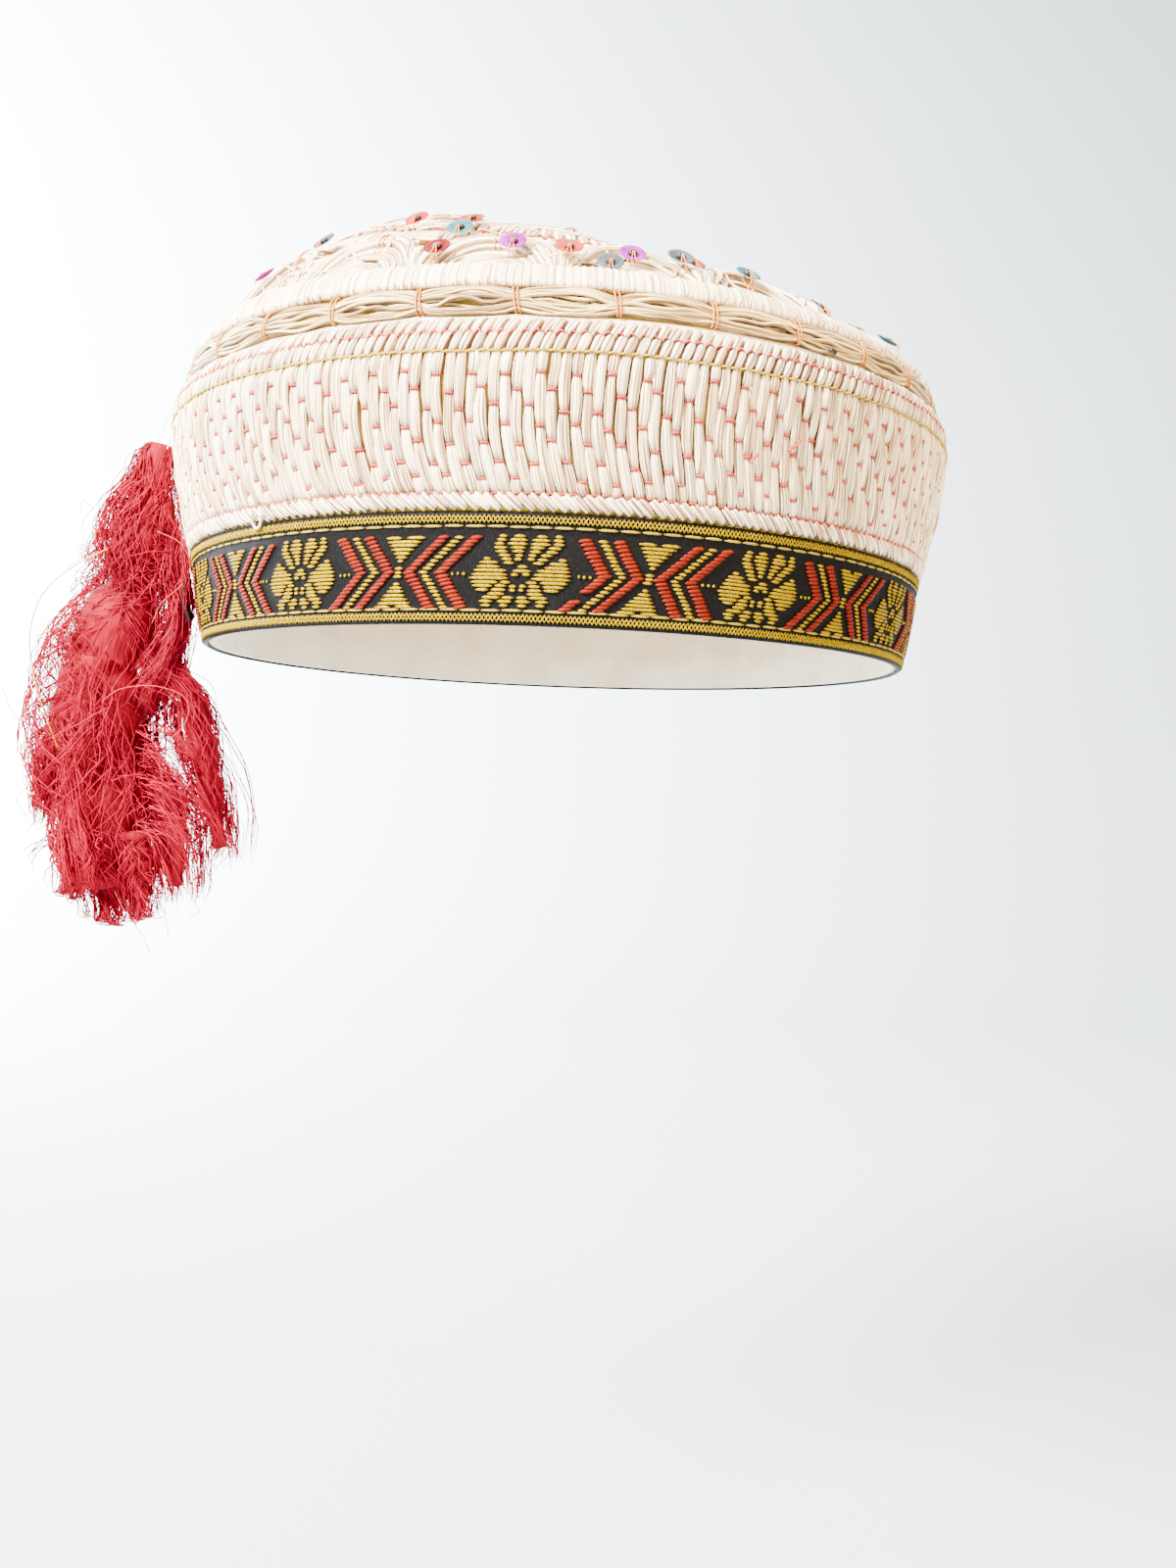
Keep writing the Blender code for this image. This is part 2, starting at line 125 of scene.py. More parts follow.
# ---------------------------------------------------------------- camera
CAMERA_PLACE = (0.0, -0.3808, -0.028)
CAMERA_YAW = math.radians(1.42)
CAMERA_PITCH = math.radians(-0.1)
CAMERA_ROLL = math.radians(2.13)
FRAME_MIDDLE = (600, 800)  # of the photo, in its pixels
FOCAL_PIXELS = 1600
TO_CAMERA = np.array([0.1, -1.0, 0.25])


def make_camera():
    data = bpy.data.cameras.new("camera")
    data.lens = 36
    data.sensor_width = 36
    data.clip_start = 0.01
    data.clip_end = 20
    camera = bpy.data.objects.new("camera", data)
    bpy.context.scene.collection.objects.link(camera)
    forward = Vector((
        math.sin(CAMERA_YAW) * math.cos(CAMERA_PITCH),
        math.cos(CAMERA_YAW) * math.cos(CAMERA_PITCH),
        math.sin(CAMERA_PITCH),
    ))
    level = forward.to_track_quat("-Z", "Y").to_matrix()
    camera.rotation_mode = "QUATERNION"
    camera.rotation_quaternion = (level @ Matrix.Rotation(CAMERA_ROLL, 3, "Z")).to_quaternion()
    camera.location = CAMERA_PLACE
    bpy.context.scene.camera = camera


make_camera()


# ---------------------------------------------------------------- gathering tubes into one mesh
def unit(v):
    return v / np.maximum(np.linalg.norm(v, axis=-1, keepdims=True), 1e-9)


def along_path(path, closed):
    if closed:
        return unit(np.roll(path, -1, axis=1) - np.roll(path, 1, axis=1))
    return unit(np.gradient(path, axis=1))


def round_section(sides, dark=()):
    """A round tube's outline; the points numbered in dark carry a painted line of shade along it."""
    turn = np.arange(sides) * TAU / sides + TAU / sides / 2
    line = np.ones(sides)
    line[list(dark)] = 0.12
    return np.stack([np.cos(turn), np.sin(turn), line], -1)


def puff_section(tops, fullness=0.75, groove=0.0):
    """Half an oval over a narrower flat foot: a bundle that lies on a surface."""
    turn = np.linspace(0, math.pi, tops)
    top = np.stack([np.cos(turn), np.sin(turn) ** fullness, np.ones(tops)], -1)
    # the grooved points sink in, and their line mark paints a dark line of shade along each groove
    if groove:
        low = np.arange(1, tops - 1, 2)
        top[low, :2] *= 1 - groove
        top[low, 2] = 0
    return np.concatenate([top, [(-0.7, -0.25, 1), (0.7, -0.25, 1)]])


class Pile:
    """Tubes gathered into one mesh, with their strand coordinates, tint and depth."""

    def __init__(self, seed):
        self.random = np.random.default_rng(seed)
        self.points, self.loops, self.sizes = [], [], []
        self.marks, self.tints, self.depths, self.lines = [], [], [], []
        self.count = 0

    def tubes(self, path, up, half_width, half_height, section, closed=False, tint=None):
        """Tubes along rows of points; up is the way that the section's second axis points."""
        path = np.asarray(path, float)
        number, stations = path.shape[:2]
        up = np.broadcast_to(up, path.shape)
        half_width = np.broadcast_to(half_width, (number, stations))
        half_height = np.broadcast_to(half_height, (number, stations))
        forward = along_path(path, closed)
        side = unit(np.cross(forward, up))
        over = np.cross(side, forward)
        around = len(section)
        s, u = section[:, 0], section[:, 1]
        points = (
            path[:, :, None, :]
            + side[:, :, None, :] * (half_width[:, :, None] * s)[..., None]
            + over[:, :, None, :] * (half_height[:, :, None] * u)[..., None]
        )
        steps = np.linalg.norm(np.diff(path, axis=1), axis=-1)
        length = np.concatenate([np.zeros((number, 1)), np.cumsum(steps, axis=1)], axis=1)
        offset = self.random.uniform(0, 400, (number, 1))
        across = half_width[:, :, None] * s + offset[:, :, None]
        ahead = np.broadcast_to((length + offset)[:, :, None], across.shape)
        self.marks.append(np.stack([across, ahead], -1).reshape(-1, 2))
        if tint is None:
            tint = self.random.uniform(0, 1, number)
        tint = np.broadcast_to(np.asarray(tint, float).reshape(-1, 1, 1), across.shape)
        self.tints.append(tint.reshape(-1))
        # depth is 1 at a bundle's top and middle and falls to 0 at its foot and thin ends: the floss, thread
        # and gold materials paint shade where it is low
        share = half_height / np.maximum(half_height.max(axis=1, keepdims=True), 1e-9)
        self.depths.append((share[:, :, None] * np.clip(u, 0, 1)).reshape(-1))
        # line is 0 at a section's grooves, where the floss material paints a dark line of shade
        self.lines.append(np.broadcast_to(section[:, 2], across.shape).reshape(-1))
        self.points.append(points.reshape(-1, 3))

        grid = self.count + np.arange(number * stations * around).reshape(number, stations, around)
        after = np.roll(grid, -1, axis=1) if closed else grid[:, 1:]
        before = grid if closed else grid[:, :-1]
        quads = np.stack(
            [before, np.roll(before, -1, axis=2), np.roll(after, -1, axis=2), after], -1
        ).reshape(-1, 4)
        self.loops.append(quads.reshape(-1))
        self.sizes.append(np.full(len(quads), 4))
        if not closed:
            ends = np.concatenate([grid[:, 0, ::-1], grid[:, -1]])
            self.loops.append(ends.reshape(-1))
            self.sizes.append(np.full(len(ends), around))
        self.count += number * stations * around

    def sheet(self, points, ring=False):
        """A grid of points, closed along its second axis, and along its first where ring is true."""
        rows, columns = points.shape[:2]
        grid = self.count + np.arange(rows * columns).reshape(rows, columns)
        after = np.roll(grid, -1, axis=1)
        quads = np.stack([grid[:-1], after[:-1], after[1:], grid[1:]], -1).reshape(-1, 4)
        if ring:
            seam = np.stack([grid[-1], after[-1], after[0], grid[0]], -1)
            quads = np.concatenate([quads, seam])
        self.points.append(points.reshape(-1, 3))
        row, column = np.mgrid[0:rows, 0:columns]
        self.marks.append(np.stack([row, column], -1).reshape(-1, 2).astype(float))
        self.tints.append(np.full(rows * columns, 0.5))
        self.depths.append(np.ones(rows * columns))
        self.lines.append(np.ones(rows * columns))
        self.loops.append(quads.reshape(-1))
        self.sizes.append(np.full(len(quads), 4))
        self.count += rows * columns

    def build(self, name, material, slot):
        points = np.concatenate(self.points) * MM
        loops = np.concatenate(self.loops)
        sizes = np.concatenate(self.sizes)
        mesh = bpy.data.meshes.new(name)
        mesh.vertices.add(len(points))
        mesh.vertices.foreach_set("co", points.ravel())
        mesh.loops.add(len(loops))
        mesh.loops.foreach_set("vertex_index", loops)
        mesh.polygons.add(len(sizes))
        mesh.polygons.foreach_set("loop_start", np.concatenate([[0], np.cumsum(sizes)[:-1]]))
        mesh.polygons.foreach_set("loop_total", sizes)
        mesh.update(calc_edges=True)
        mesh.polygons.foreach_set("use_smooth", np.ones(len(sizes), bool))
        layer = mesh.uv_layers.new(name="strand")
        layer.data.foreach_set("uv", np.concatenate(self.marks)[loops].ravel())
        for kind, values in (("tint", self.tints), ("depth", self.depths), ("line", self.lines)):
            attribute = mesh.attributes.new(kind, "FLOAT", "POINT")
            attribute.data.foreach_set("value", np.concatenate(values).astype(np.float32))
        mesh.validate()
        mesh.materials.append(material)
        piece = bpy.data.objects.new(name, mesh)
        bpy.context.scene.collection.objects.link(piece)
        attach(piece, BODY)
        return piece


def weld(piece, turn_out=False):
    """Join the doubled row where a sheet closes on itself."""
    mesh = bmesh.new()
    mesh.from_mesh(piece.data)
    bmesh.ops.remove_doubles(mesh, verts=mesh.verts, dist=1e-6)
    if turn_out:
        bmesh.ops.recalc_face_normals(mesh, faces=mesh.faces)
    mesh.to_mesh(piece.data)
    mesh.free()


def blunt(share, cut, power):
    """A bundle's swell along its length, cut short at both ends."""
    return np.sin(math.pi * (cut + (1 - 2 * cut) * share)) ** power


# ---------------------------------------------------------------- materials
class Nodes:
    """Short names for the nodes of one material."""

    def __init__(self, name):
        self.material = bpy.data.materials.new(name)
        self.material.use_nodes = True
        self.tree = self.material.node_tree
        self.shader = self.tree.nodes["Principled BSDF"]

    def set(self, **values):
        for key, value in values.items():
            self.shader.inputs[key.replace("_", " ")].default_value = value

    def node(self, kind, **settings):
        made = self.tree.nodes.new(kind)
        for key, value in settings.items():
            setattr(made, key, value)
        return made

    def link(self, output, target):
        self.tree.links.new(output, target)

    def value(self, attribute):
        return self.node("ShaderNodeAttribute", attribute_name=attribute).outputs["Fac"]

    def strands(self, across, ahead):
        """Noise drawn out along the strands: coordinates are millimetres of the strand map."""
        place = self.node("ShaderNodeUVMap", uv_map="strand")
        scale = self.node("ShaderNodeMapping")
        scale.inputs["Scale"].default_value = (across, ahead, 1)
        self.link(place.outputs["UV"], scale.inputs["Vector"])
        noise = self.node("ShaderNodeTexNoise")
        noise.inputs["Scale"].default_value = 1
        noise.inputs["Detail"].default_value = 3
        noise.inputs["Roughness"].default_value = 0.6
        self.link(scale.outputs["Vector"], noise.inputs["Vector"])
        return noise.outputs["Fac"]

    def noise(self, scale, detail=3, stretch=(1, 1, 1)):
        place = self.node("ShaderNodeTexCoord")
        mapping = self.node("ShaderNodeMapping")
        mapping.inputs["Scale"].default_value = stretch
        self.link(place.outputs["Object"], mapping.inputs["Vector"])
        noise = self.node("ShaderNodeTexNoise")
        noise.inputs["Scale"].default_value = scale
        noise.inputs["Detail"].default_value = detail
        self.link(mapping.outputs["Vector"], noise.inputs["Vector"])
        return noise.outputs["Fac"]

    def ramp(self, factor, *stops):
        made = self.node("ShaderNodeValToRGB")
        ramp = made.color_ramp
        while len(ramp.elements) < len(stops):
            ramp.elements.new(0.5)
        for element, (place, colour) in zip(ramp.elements, stops):
            element.position = place
            element.color = (*colour, 1)
        self.link(factor, made.inputs["Fac"])
        return made.outputs["Color"]

    def mix(self, factor, first, second, blend="MIX"):
        made = self.node("ShaderNodeMix", data_type="RGBA", blend_type=blend)
        if isinstance(factor, float):
            made.inputs[0].default_value = factor
        else:
            self.link(factor, made.inputs[0])
        for value, target in ((first, made.inputs[6]), (second, made.inputs[7])):
            if isinstance(value, tuple):
                target.default_value = (*value, 1)
            else:
                self.link(value, target)
        return made.outputs[2]

    def math(self, operation, first, second=0.0):
        made = self.node("ShaderNodeMath", operation=operation)
        for value, target in ((first, made.inputs[0]), (second, made.inputs[1])):
            if isinstance(value, (int, float)):
                target.default_value = value
            else:
                self.link(value, target)
        return made.outputs[0]

    def colour(self, output):
        self.link(output, self.shader.inputs["Base Color"])

    def bump(self, height, strength, distance):
        made = self.node("ShaderNodeBump")
        made.inputs["Strength"].default_value = strength
        made.inputs["Distance"].default_value = distance
        self.link(height, made.inputs["Height"])
        self.link(made.outputs["Normal"], self.shader.inputs["Normal"])


def floss_material(name, light, warm, shade_colour, fine=2.4, slit_shade_weight=0.8):
    """Silky floss: fine strands along the bundle, painted shade in the slits between them and along the
    grooves, painted warm shade in its hollows, each bundle its own tint.
    """
    n = Nodes(name)
    strands = n.strands(fine, 0.05)
    threads = n.strands(fine * 0.4, 0.025)
    both = n.math("ADD", n.math("MULTIPLY", strands, 0.6), n.math("MULTIPLY", threads, 0.4))
    base = n.mix(n.value("tint"), light, warm)
    # painted shade in the slits between strands
    slit_shade = n.ramp(both, (0.40, shade_colour), (0.46, (0.42, 0.25, 0.12)), (0.52, (1, 1, 1)))
    base = n.mix(slit_shade_weight, base, n.mix(1.0, base, slit_shade, "MULTIPLY"))
    # painted shade along the grooves of the section, where line is 0
    lines = n.ramp(n.value("line"), (0.0, (0.06, 0.022, 0.006)), (0.75, (1, 1, 1)))
    base = n.mix(n.ramp(threads, (0.44, (1, 1, 1)), (0.60, (0.35, 0.35, 0.35))), base,
                 n.mix(1.0, base, lines, "MULTIPLY"))
    # painted shade at the foot of each bundle and in the gaps between bundles, where depth is low
    hollow_shade = n.ramp(n.value("depth"), (0.08, shade_colour), (0.62, (1, 1, 1)))
    n.colour(n.mix(0.92, base, hollow_shade, "MULTIPLY"))
    n.bump(both, 0.9, 0.0004)
    n.set(Roughness=0.45, Specular_IOR_Level=0.3, Sheen_Weight=0.08, Sheen_Roughness=0.4)
    return n.material


def thread_material(name, light, dark, fine=6.0, roughness=0.5, strength=0.5):
    """Twisted thread: a slanting ply, light on top and darker below with painted shade."""
    n = Nodes(name)
    ply = n.strands(fine, fine * 0.35)
    base = n.mix(n.value("tint"), light, dark)
    shade = n.ramp(ply, (0.35, dark), (0.6, light))
    base = n.mix(0.6, base, shade)
    # painted shade towards the thread's foot, where depth is low
    hollow_shade = n.ramp(n.value("depth"), (0.0, (0.55, 0.5, 0.45)), (0.5, (1, 1, 1)))
    n.colour(n.mix(0.7, base, hollow_shade, "MULTIPLY"))
    n.bump(ply, strength, 0.0002)
    n.set(Roughness=roughness, Specular_IOR_Level=0.08)
    return n.material


WEAVE_SCALE = 2400 / 6.28  # the waves of the cloth's weave, to the metre


def cloth_material(name, light, dark):
    """Plain cotton: a fine weave, slubs and uneven dye."""
    n = Nodes(name)
    place = n.node("ShaderNodeTexCoord")
    waves = []
    for direction in ("X", "Z"):
        wave = n.node("ShaderNodeTexWave", wave_type="BANDS", bands_direction=direction)
        wave.inputs["Scale"].default_value = WEAVE_SCALE
        wave.inputs["Distortion"].default_value = 1.5
        wave.inputs["Detail"].default_value = 1
        n.link(place.outputs["Object"], wave.inputs["Vector"])
        waves.append(wave.outputs["Fac"])
    weft = n.math("MULTIPLY", waves[0], waves[1])
    patches = n.noise(90, 4)
    grain = n.noise(900, 2)
    base = n.ramp(patches, (0.35, dark), (0.65, light))
    base = n.mix(0.35, base, n.ramp(grain, (0.3, dark), (0.7, light)))
    n.colour(n.mix(n.math("MULTIPLY", weft, 0.35), base, light))
    n.bump(n.math("ADD", weft, n.math("MULTIPLY", grain, 0.6)), 0.5, 0.0002)
    n.set(Roughness=0.75, Sheen_Weight=0.2)
    return n.material


def satin_material(name):
    """The ribbon's black satin: fine upright warp threads, the light they catch painted on as highlights."""
    n = Nodes(name)
    warp = n.strands(9.0, 1.2)
    fleck = n.strands(3.0, 0.8)
    # the warp's lightest stop is a painted highlight streaked along the threads
    base = n.ramp(
        warp, (0.35, (0.001, 0.001, 0.0011)), (0.62, (0.0034, 0.0033, 0.0034)), (0.8, (0.022, 0.020, 0.020))
    )
    flecks = n.ramp(fleck, (0.5, (0, 0, 0)), (0.75, (0.5, 0.5, 0.5)))
    n.colour(n.mix(flecks, base, (0.008, 0.0075, 0.0075)))
    n.bump(warp, 0.5, 0.0002)
    n.set(Roughness=0.5, Specular_IOR_Level=0.04)
    return n.material


def lurex_material(name, light, dark):
    """Gold lurex over a yellow core: bright, crinkled and only partly metallic, with painted glints on the
    crinkles and painted shade at each thread's foot.
    """
    n = Nodes(name)
    crinkle = n.strands(3.5, 2.2)
    # the pale top stop paints glints on the crinkles
    base = n.ramp(crinkle, (0.40, dark), (0.52, light), (0.66, (0.38, 0.265, 0.0)))
    base = n.mix(n.math("MULTIPLY", n.value("tint"), 0.5), base, light)
    # painted shade at the foot of each gold thread, where depth is low
    hollow_shade = n.ramp(n.value("depth"), (0.02, (0.25, 0.13, 0.03)), (0.5, (1, 1, 1)))
    n.colour(n.mix(0.95, base, hollow_shade, "MULTIPLY"))
    n.bump(crinkle, 0.6, 0.0002)
    n.set(Roughness=0.38, Metallic=0.3, Specular_IOR_Level=0.0)
    return n.material


def sequin_material(name, colour, edge):
    """Pearly plastic film over a colour, a little scratched."""
    n = Nodes(name)
    film = n.noise(260, 2)
    scratch = n.noise(2500, 2, (1, 6, 1))
    base = n.ramp(film, (0.3, edge), (0.6, colour))
    scratches = n.ramp(scratch, (0.6, (0, 0, 0)), (0.8, (0.3, 0.3, 0.3)))
    n.colour(n.mix(scratches, base, (0.6, 0.6, 0.6)))
    n.bump(scratch, 0.15, 0.0001)
    n.set(Roughness=0.35, Metallic=0.3, Specular_IOR_Level=0.0)
    return n.material


def bead_material(name):
    """Dark glass, a little uneven."""
    n = Nodes(name)
    swirl = n.noise(700, 3)
    n.colour(n.ramp(swirl, (0.35, (0.012, 0.008, 0.007)), (0.7, (0.05, 0.035, 0.03))))
    n.bump(swirl, 0.1, 0.0001)
    n.set(Roughness=0.22, Specular_IOR_Level=0.2)
    return n.material


# each floss's third colour is the painted shade in its slits, grooves and hollows
FLOSS = floss_material("floss_ecru", (0.95, 0.84, 0.58), (0.94, 0.72, 0.42), (0.24, 0.09, 0.02))
EDGE_FLOSS = floss_material("floss_edge", (0.95, 0.84, 0.60), (0.94, 0.72, 0.45), (0.28, 0.09, 0.03))
ROPE_FLOSS = floss_material(
    "floss_rope", (0.88, 0.70, 0.29), (0.52, 0.35, 0.11), (0.15, 0.07, 0.01), fine=1.8, slit_shade_weight=0.9
)
RING_FLOSS = floss_material("floss_ring", (0.95, 0.85, 0.62), (0.94, 0.78, 0.52), (0.36, 0.19, 0.06))
CROWN_FLOSS = floss_material("floss_crown", (0.95, 0.85, 0.60), (0.88, 0.66, 0.34), (0.26, 0.12, 0.02))
PINK = thread_material("thread_pink", (0.48, 0.045, 0.045), (0.24, 0.012, 0.015))
YELLOW = thread_material("thread_yellow", (0.46, 0.31, 0.0), (0.32, 0.19, 0.0))
ORANGE = thread_material("thread_orange", (0.62, 0.22, 0.02), (0.42, 0.12, 0.01))
RED_STITCH = thread_material("thread_red", (0.13, 0.007, 0.0), (0.05, 0.001, 0.0), fine=4.0, strength=0.8)
BROWN = thread_material("thread_brown", (0.34, 0.16, 0.04), (0.16, 0.06, 0.01))
OLIVE = thread_material("thread_olive_gold", (0.28, 0.20, 0.015), (0.15, 0.10, 0.005), roughness=0.4)
GOLD = lurex_material("thread_gold", (0.235, 0.155, 0.0), (0.10, 0.052, 0.0))
SATIN = satin_material("satin_black")
MUSTARD = cloth_material("cotton_mustard", (0.62, 0.42, 0.01), (0.40, 0.24, 0.005))
LINING = cloth_material("cotton_natural", (0.80, 0.68, 0.50), (0.62, 0.48, 0.32))


# ---------------------------------------------------------------- places on the wall and ribbon
FRONT = -math.pi / 2
TABLE = np.linspace(FRONT - math.pi, FRONT + math.pi, 7201)


def arc_table(half_x):
    """Arc lengths from the front at TABLE's angles, and the whole way round."""
    x = half_x * np.cos(TABLE)
    y = (half_x + OVAL_EXTRA) * np.sin(TABLE)
    steps = np.hypot(np.diff(x), np.diff(y))
    arc = np.concatenate([[0], np.cumsum(steps)])
    return arc - arc[-1] / 2, arc[-1]


WALL_ARC, WALL_ROUND = arc_table(89.0)  # at the wall's mean half width
RIBBON_ARC, RIBBON_ROUND = arc_table(83.9)


def turn_at(arc, table=WALL_ARC, whole=WALL_ROUND):
    """The angle round the cap, an arc length to the right of the front."""
    arc = (np.asarray(arc, float) + whole / 2) % whole - whole / 2
    return np.interp(arc, table, TABLE)


def oval_point(turn, half_x, z):
    turn, half_x, z = np.broadcast_arrays(turn, half_x, z)
    return np.stack([half_x * np.cos(turn), (half_x + OVAL_EXTRA) * np.sin(turn), z], -1)


def oval_normal(turn, half_x, slope):
    turn, half_x, slope = np.broadcast_arrays(turn, half_x, slope)
    flat = unit(np.stack([
        np.cos(turn) * (half_x + OVAL_EXTRA), np.sin(turn) * half_x, np.zeros_like(turn)
    ], -1))
    flat[..., 2] = -slope
    return unit(flat)


def wall_half(z):
    return np.interp(z, WALL_Z, WALL_A)


def on_wall(arc, z, out):
    """Points and normals out mm off the wall, an arc length from its front and at a height."""
    turn = turn_at(arc)
    half = wall_half(z)
    slope = (wall_half(z + 0.8) - wall_half(z - 0.8)) / 1.6
    slope = np.where(z > 54.0, -1.6, slope)
    normal = oval_normal(turn, half, slope)
    return oval_point(turn, half, z) + normal * np.asarray(out)[..., None], normal


def ribbon_half(height):
    share = height / RIBBON_HEIGHT
    return RIM + RIBBON_FLARE * share + RIBBON_BULGE * 4 * share * (1 - share)


def on_ribbon(arc, height, out):
    """Points and normals out mm off the ribbon."""
    turn = turn_at(arc, RIBBON_ARC, RIBBON_ROUND)
    half = ribbon_half(height)
    normal = oval_normal(turn, half, np.full_like(half, RIBBON_FLARE / RIBBON_HEIGHT))
    return oval_point(turn, half, height) + normal * np.asarray(out)[..., None], normal


# ---------------------------------------------------------------- wall: cloth and couched floss
WALL_COLUMNS = 285
COLUMN_STEP = WALL_ROUND / WALL_COLUMNS
TIE_PITCH = 9.4
WALL_BOTTOM = 23.3
YELLOW_LINE = 48.2
PINK_LINE = 51.7
CLOTH_UNDER = 1.35  # how far the wall's cloth lies under the floss


def lean(z):
    """How far a column stands to the right of its place, at a height."""
    low = np.clip((36.0 - z) / 12.7, 0, None)
    high = np.clip((z - 42.0) / 6.2, 0, None)
    return 2.7 * low**1.5 + 0.55 * high**1.5


def build_wall_cloth():
    """The wall's padded cloth, its outside under the floss and its inside lined."""
    pile = Pile(1)
    turns = np.linspace(0, TAU, 193)[:-1]
    # height and half width, up the outside and down the inside
    outer = [(z, ribbon_half(h) - 1.3) for z, h in ((0.5, 0.5), (10.0, 10.0), (20.4, 20.2))]
    outer += [(z, wall_half(z) - CLOTH_UNDER) for z in (21.0, 23.3, 28, 34, 40, 45, 48.2, 51.0, 53.0)]
    outer += [(54.4, 87.6), (55.6, 86.6)]
    inner = [(55.6, 85.2), (50, 86.9), (40, 86.6), (30, 85.0), (22, 83.0), (20.5, 82.2), (10, 80.3),
             (0.5, 78.8)]
    pile.sheet(np.stack([oval_point(turns, half, z) for z, half in outer + inner]), ring=True)
    piece = pile.build("wall_cloth", MUSTARD, "wall_floss")
    piece.data.materials.append(LINING)
    for face in piece.data.polygons:
        middle = face.center / MM
        inward = face.normal.x * middle.x + face.normal.y * middle.y < 0
        if inward or middle.z < 0.6 or middle.z > 54.5:
            face.material_index = 1
    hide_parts("side_wall")


def wall_puffs():
    """Start height, end height and column of every couched stretch of floss, and the ties' places."""
    random = np.random.default_rng(11)
    puffs, ties = [], []
    for column in range(WALL_COLUMNS):
        shift = WALL_BOTTOM + 5.6 - TIE_PITCH * (column % 3) / 3
        marks = []
        for step in range(-1, 4):
            z = shift + TIE_PITCH * step + random.uniform(-0.75, 0.75)
            if WALL_BOTTOM + 1.9 < z < YELLOW_LINE - 1.7 and random.uniform() > 0.015:
                marks.append(z)
        sway = random.uniform(-0.22, 0.22, len(marks))
        ends = [(WALL_BOTTOM, 0.0)] + list(zip(marks, sway)) + [(YELLOW_LINE, 0.0)]
        for (low, low_sway), (high, high_sway) in zip(ends[:-1], ends[1:]):
            puffs.append((column, low, high, low_sway, high_sway))
        ties += [(column, z, way) for z, way in zip(marks, sway)]
    return np.array(puffs), np.array(ties)


def build_wall_floss():
    puffs, ties = wall_puffs()
    pile = Pile(2)
    random = pile.random
    stations = 6
    share = np.linspace(0, 1, stations)[None]
    column, low, high, low_sway, high_sway = (puffs[:, i : i + 1] for i in range(5))
    z = low + (high - low) * share
    bow = random.normal(0, 0.16, (len(puffs), 1)) * np.sin(math.pi * share)
    arc = column * COLUMN_STEP + low_sway + (high_sway - low_sway) * share + lean(z) + bow
    fat = np.sin(math.pi * share) ** 0.6
    width = random.uniform(1.06, 1.36, (len(puffs), 1))
    height = random.uniform(1.15, 1.6, (len(puffs), 1))
    half_width = 0.84 + (width - 0.84) * fat
    half_height = 0.82 + (height - 0.82) * fat
    path, normal = on_wall(arc, z, np.full_like(z, -CLOTH_UNDER))
    pile.tubes(path, normal, half_width, half_height, puff_section(11, 0.5, 0.13))
    pile.build("wall_floss", FLOSS, "wall_floss")

    pile = Pile(3)
    share = np.linspace(-1, 1, 5)[None]
    column, z, sway = (ties[:, i : i + 1] for i in range(3))
    random = pile.random
    tilt = random.uniform(-0.12, 0.12, (len(ties), 1))
    reach = random.uniform(0.86, 1.08, (len(ties), 1))
    arc = column * COLUMN_STEP + sway + lean(z) + share * reach
    out = -CLOTH_UNDER + 0.25 + 0.82 * (1 - share**2) ** 0.5
    place, normal = on_wall(arc, z + tilt * share - 0.12 * share**4, out)
    thick = random.uniform(0.17, 0.30, (len(ties), 1))
    pile.tubes(place, normal, thick * 1.15, thick * 0.9, round_section(5))
    pile.build("tie_stitches", PINK, None)


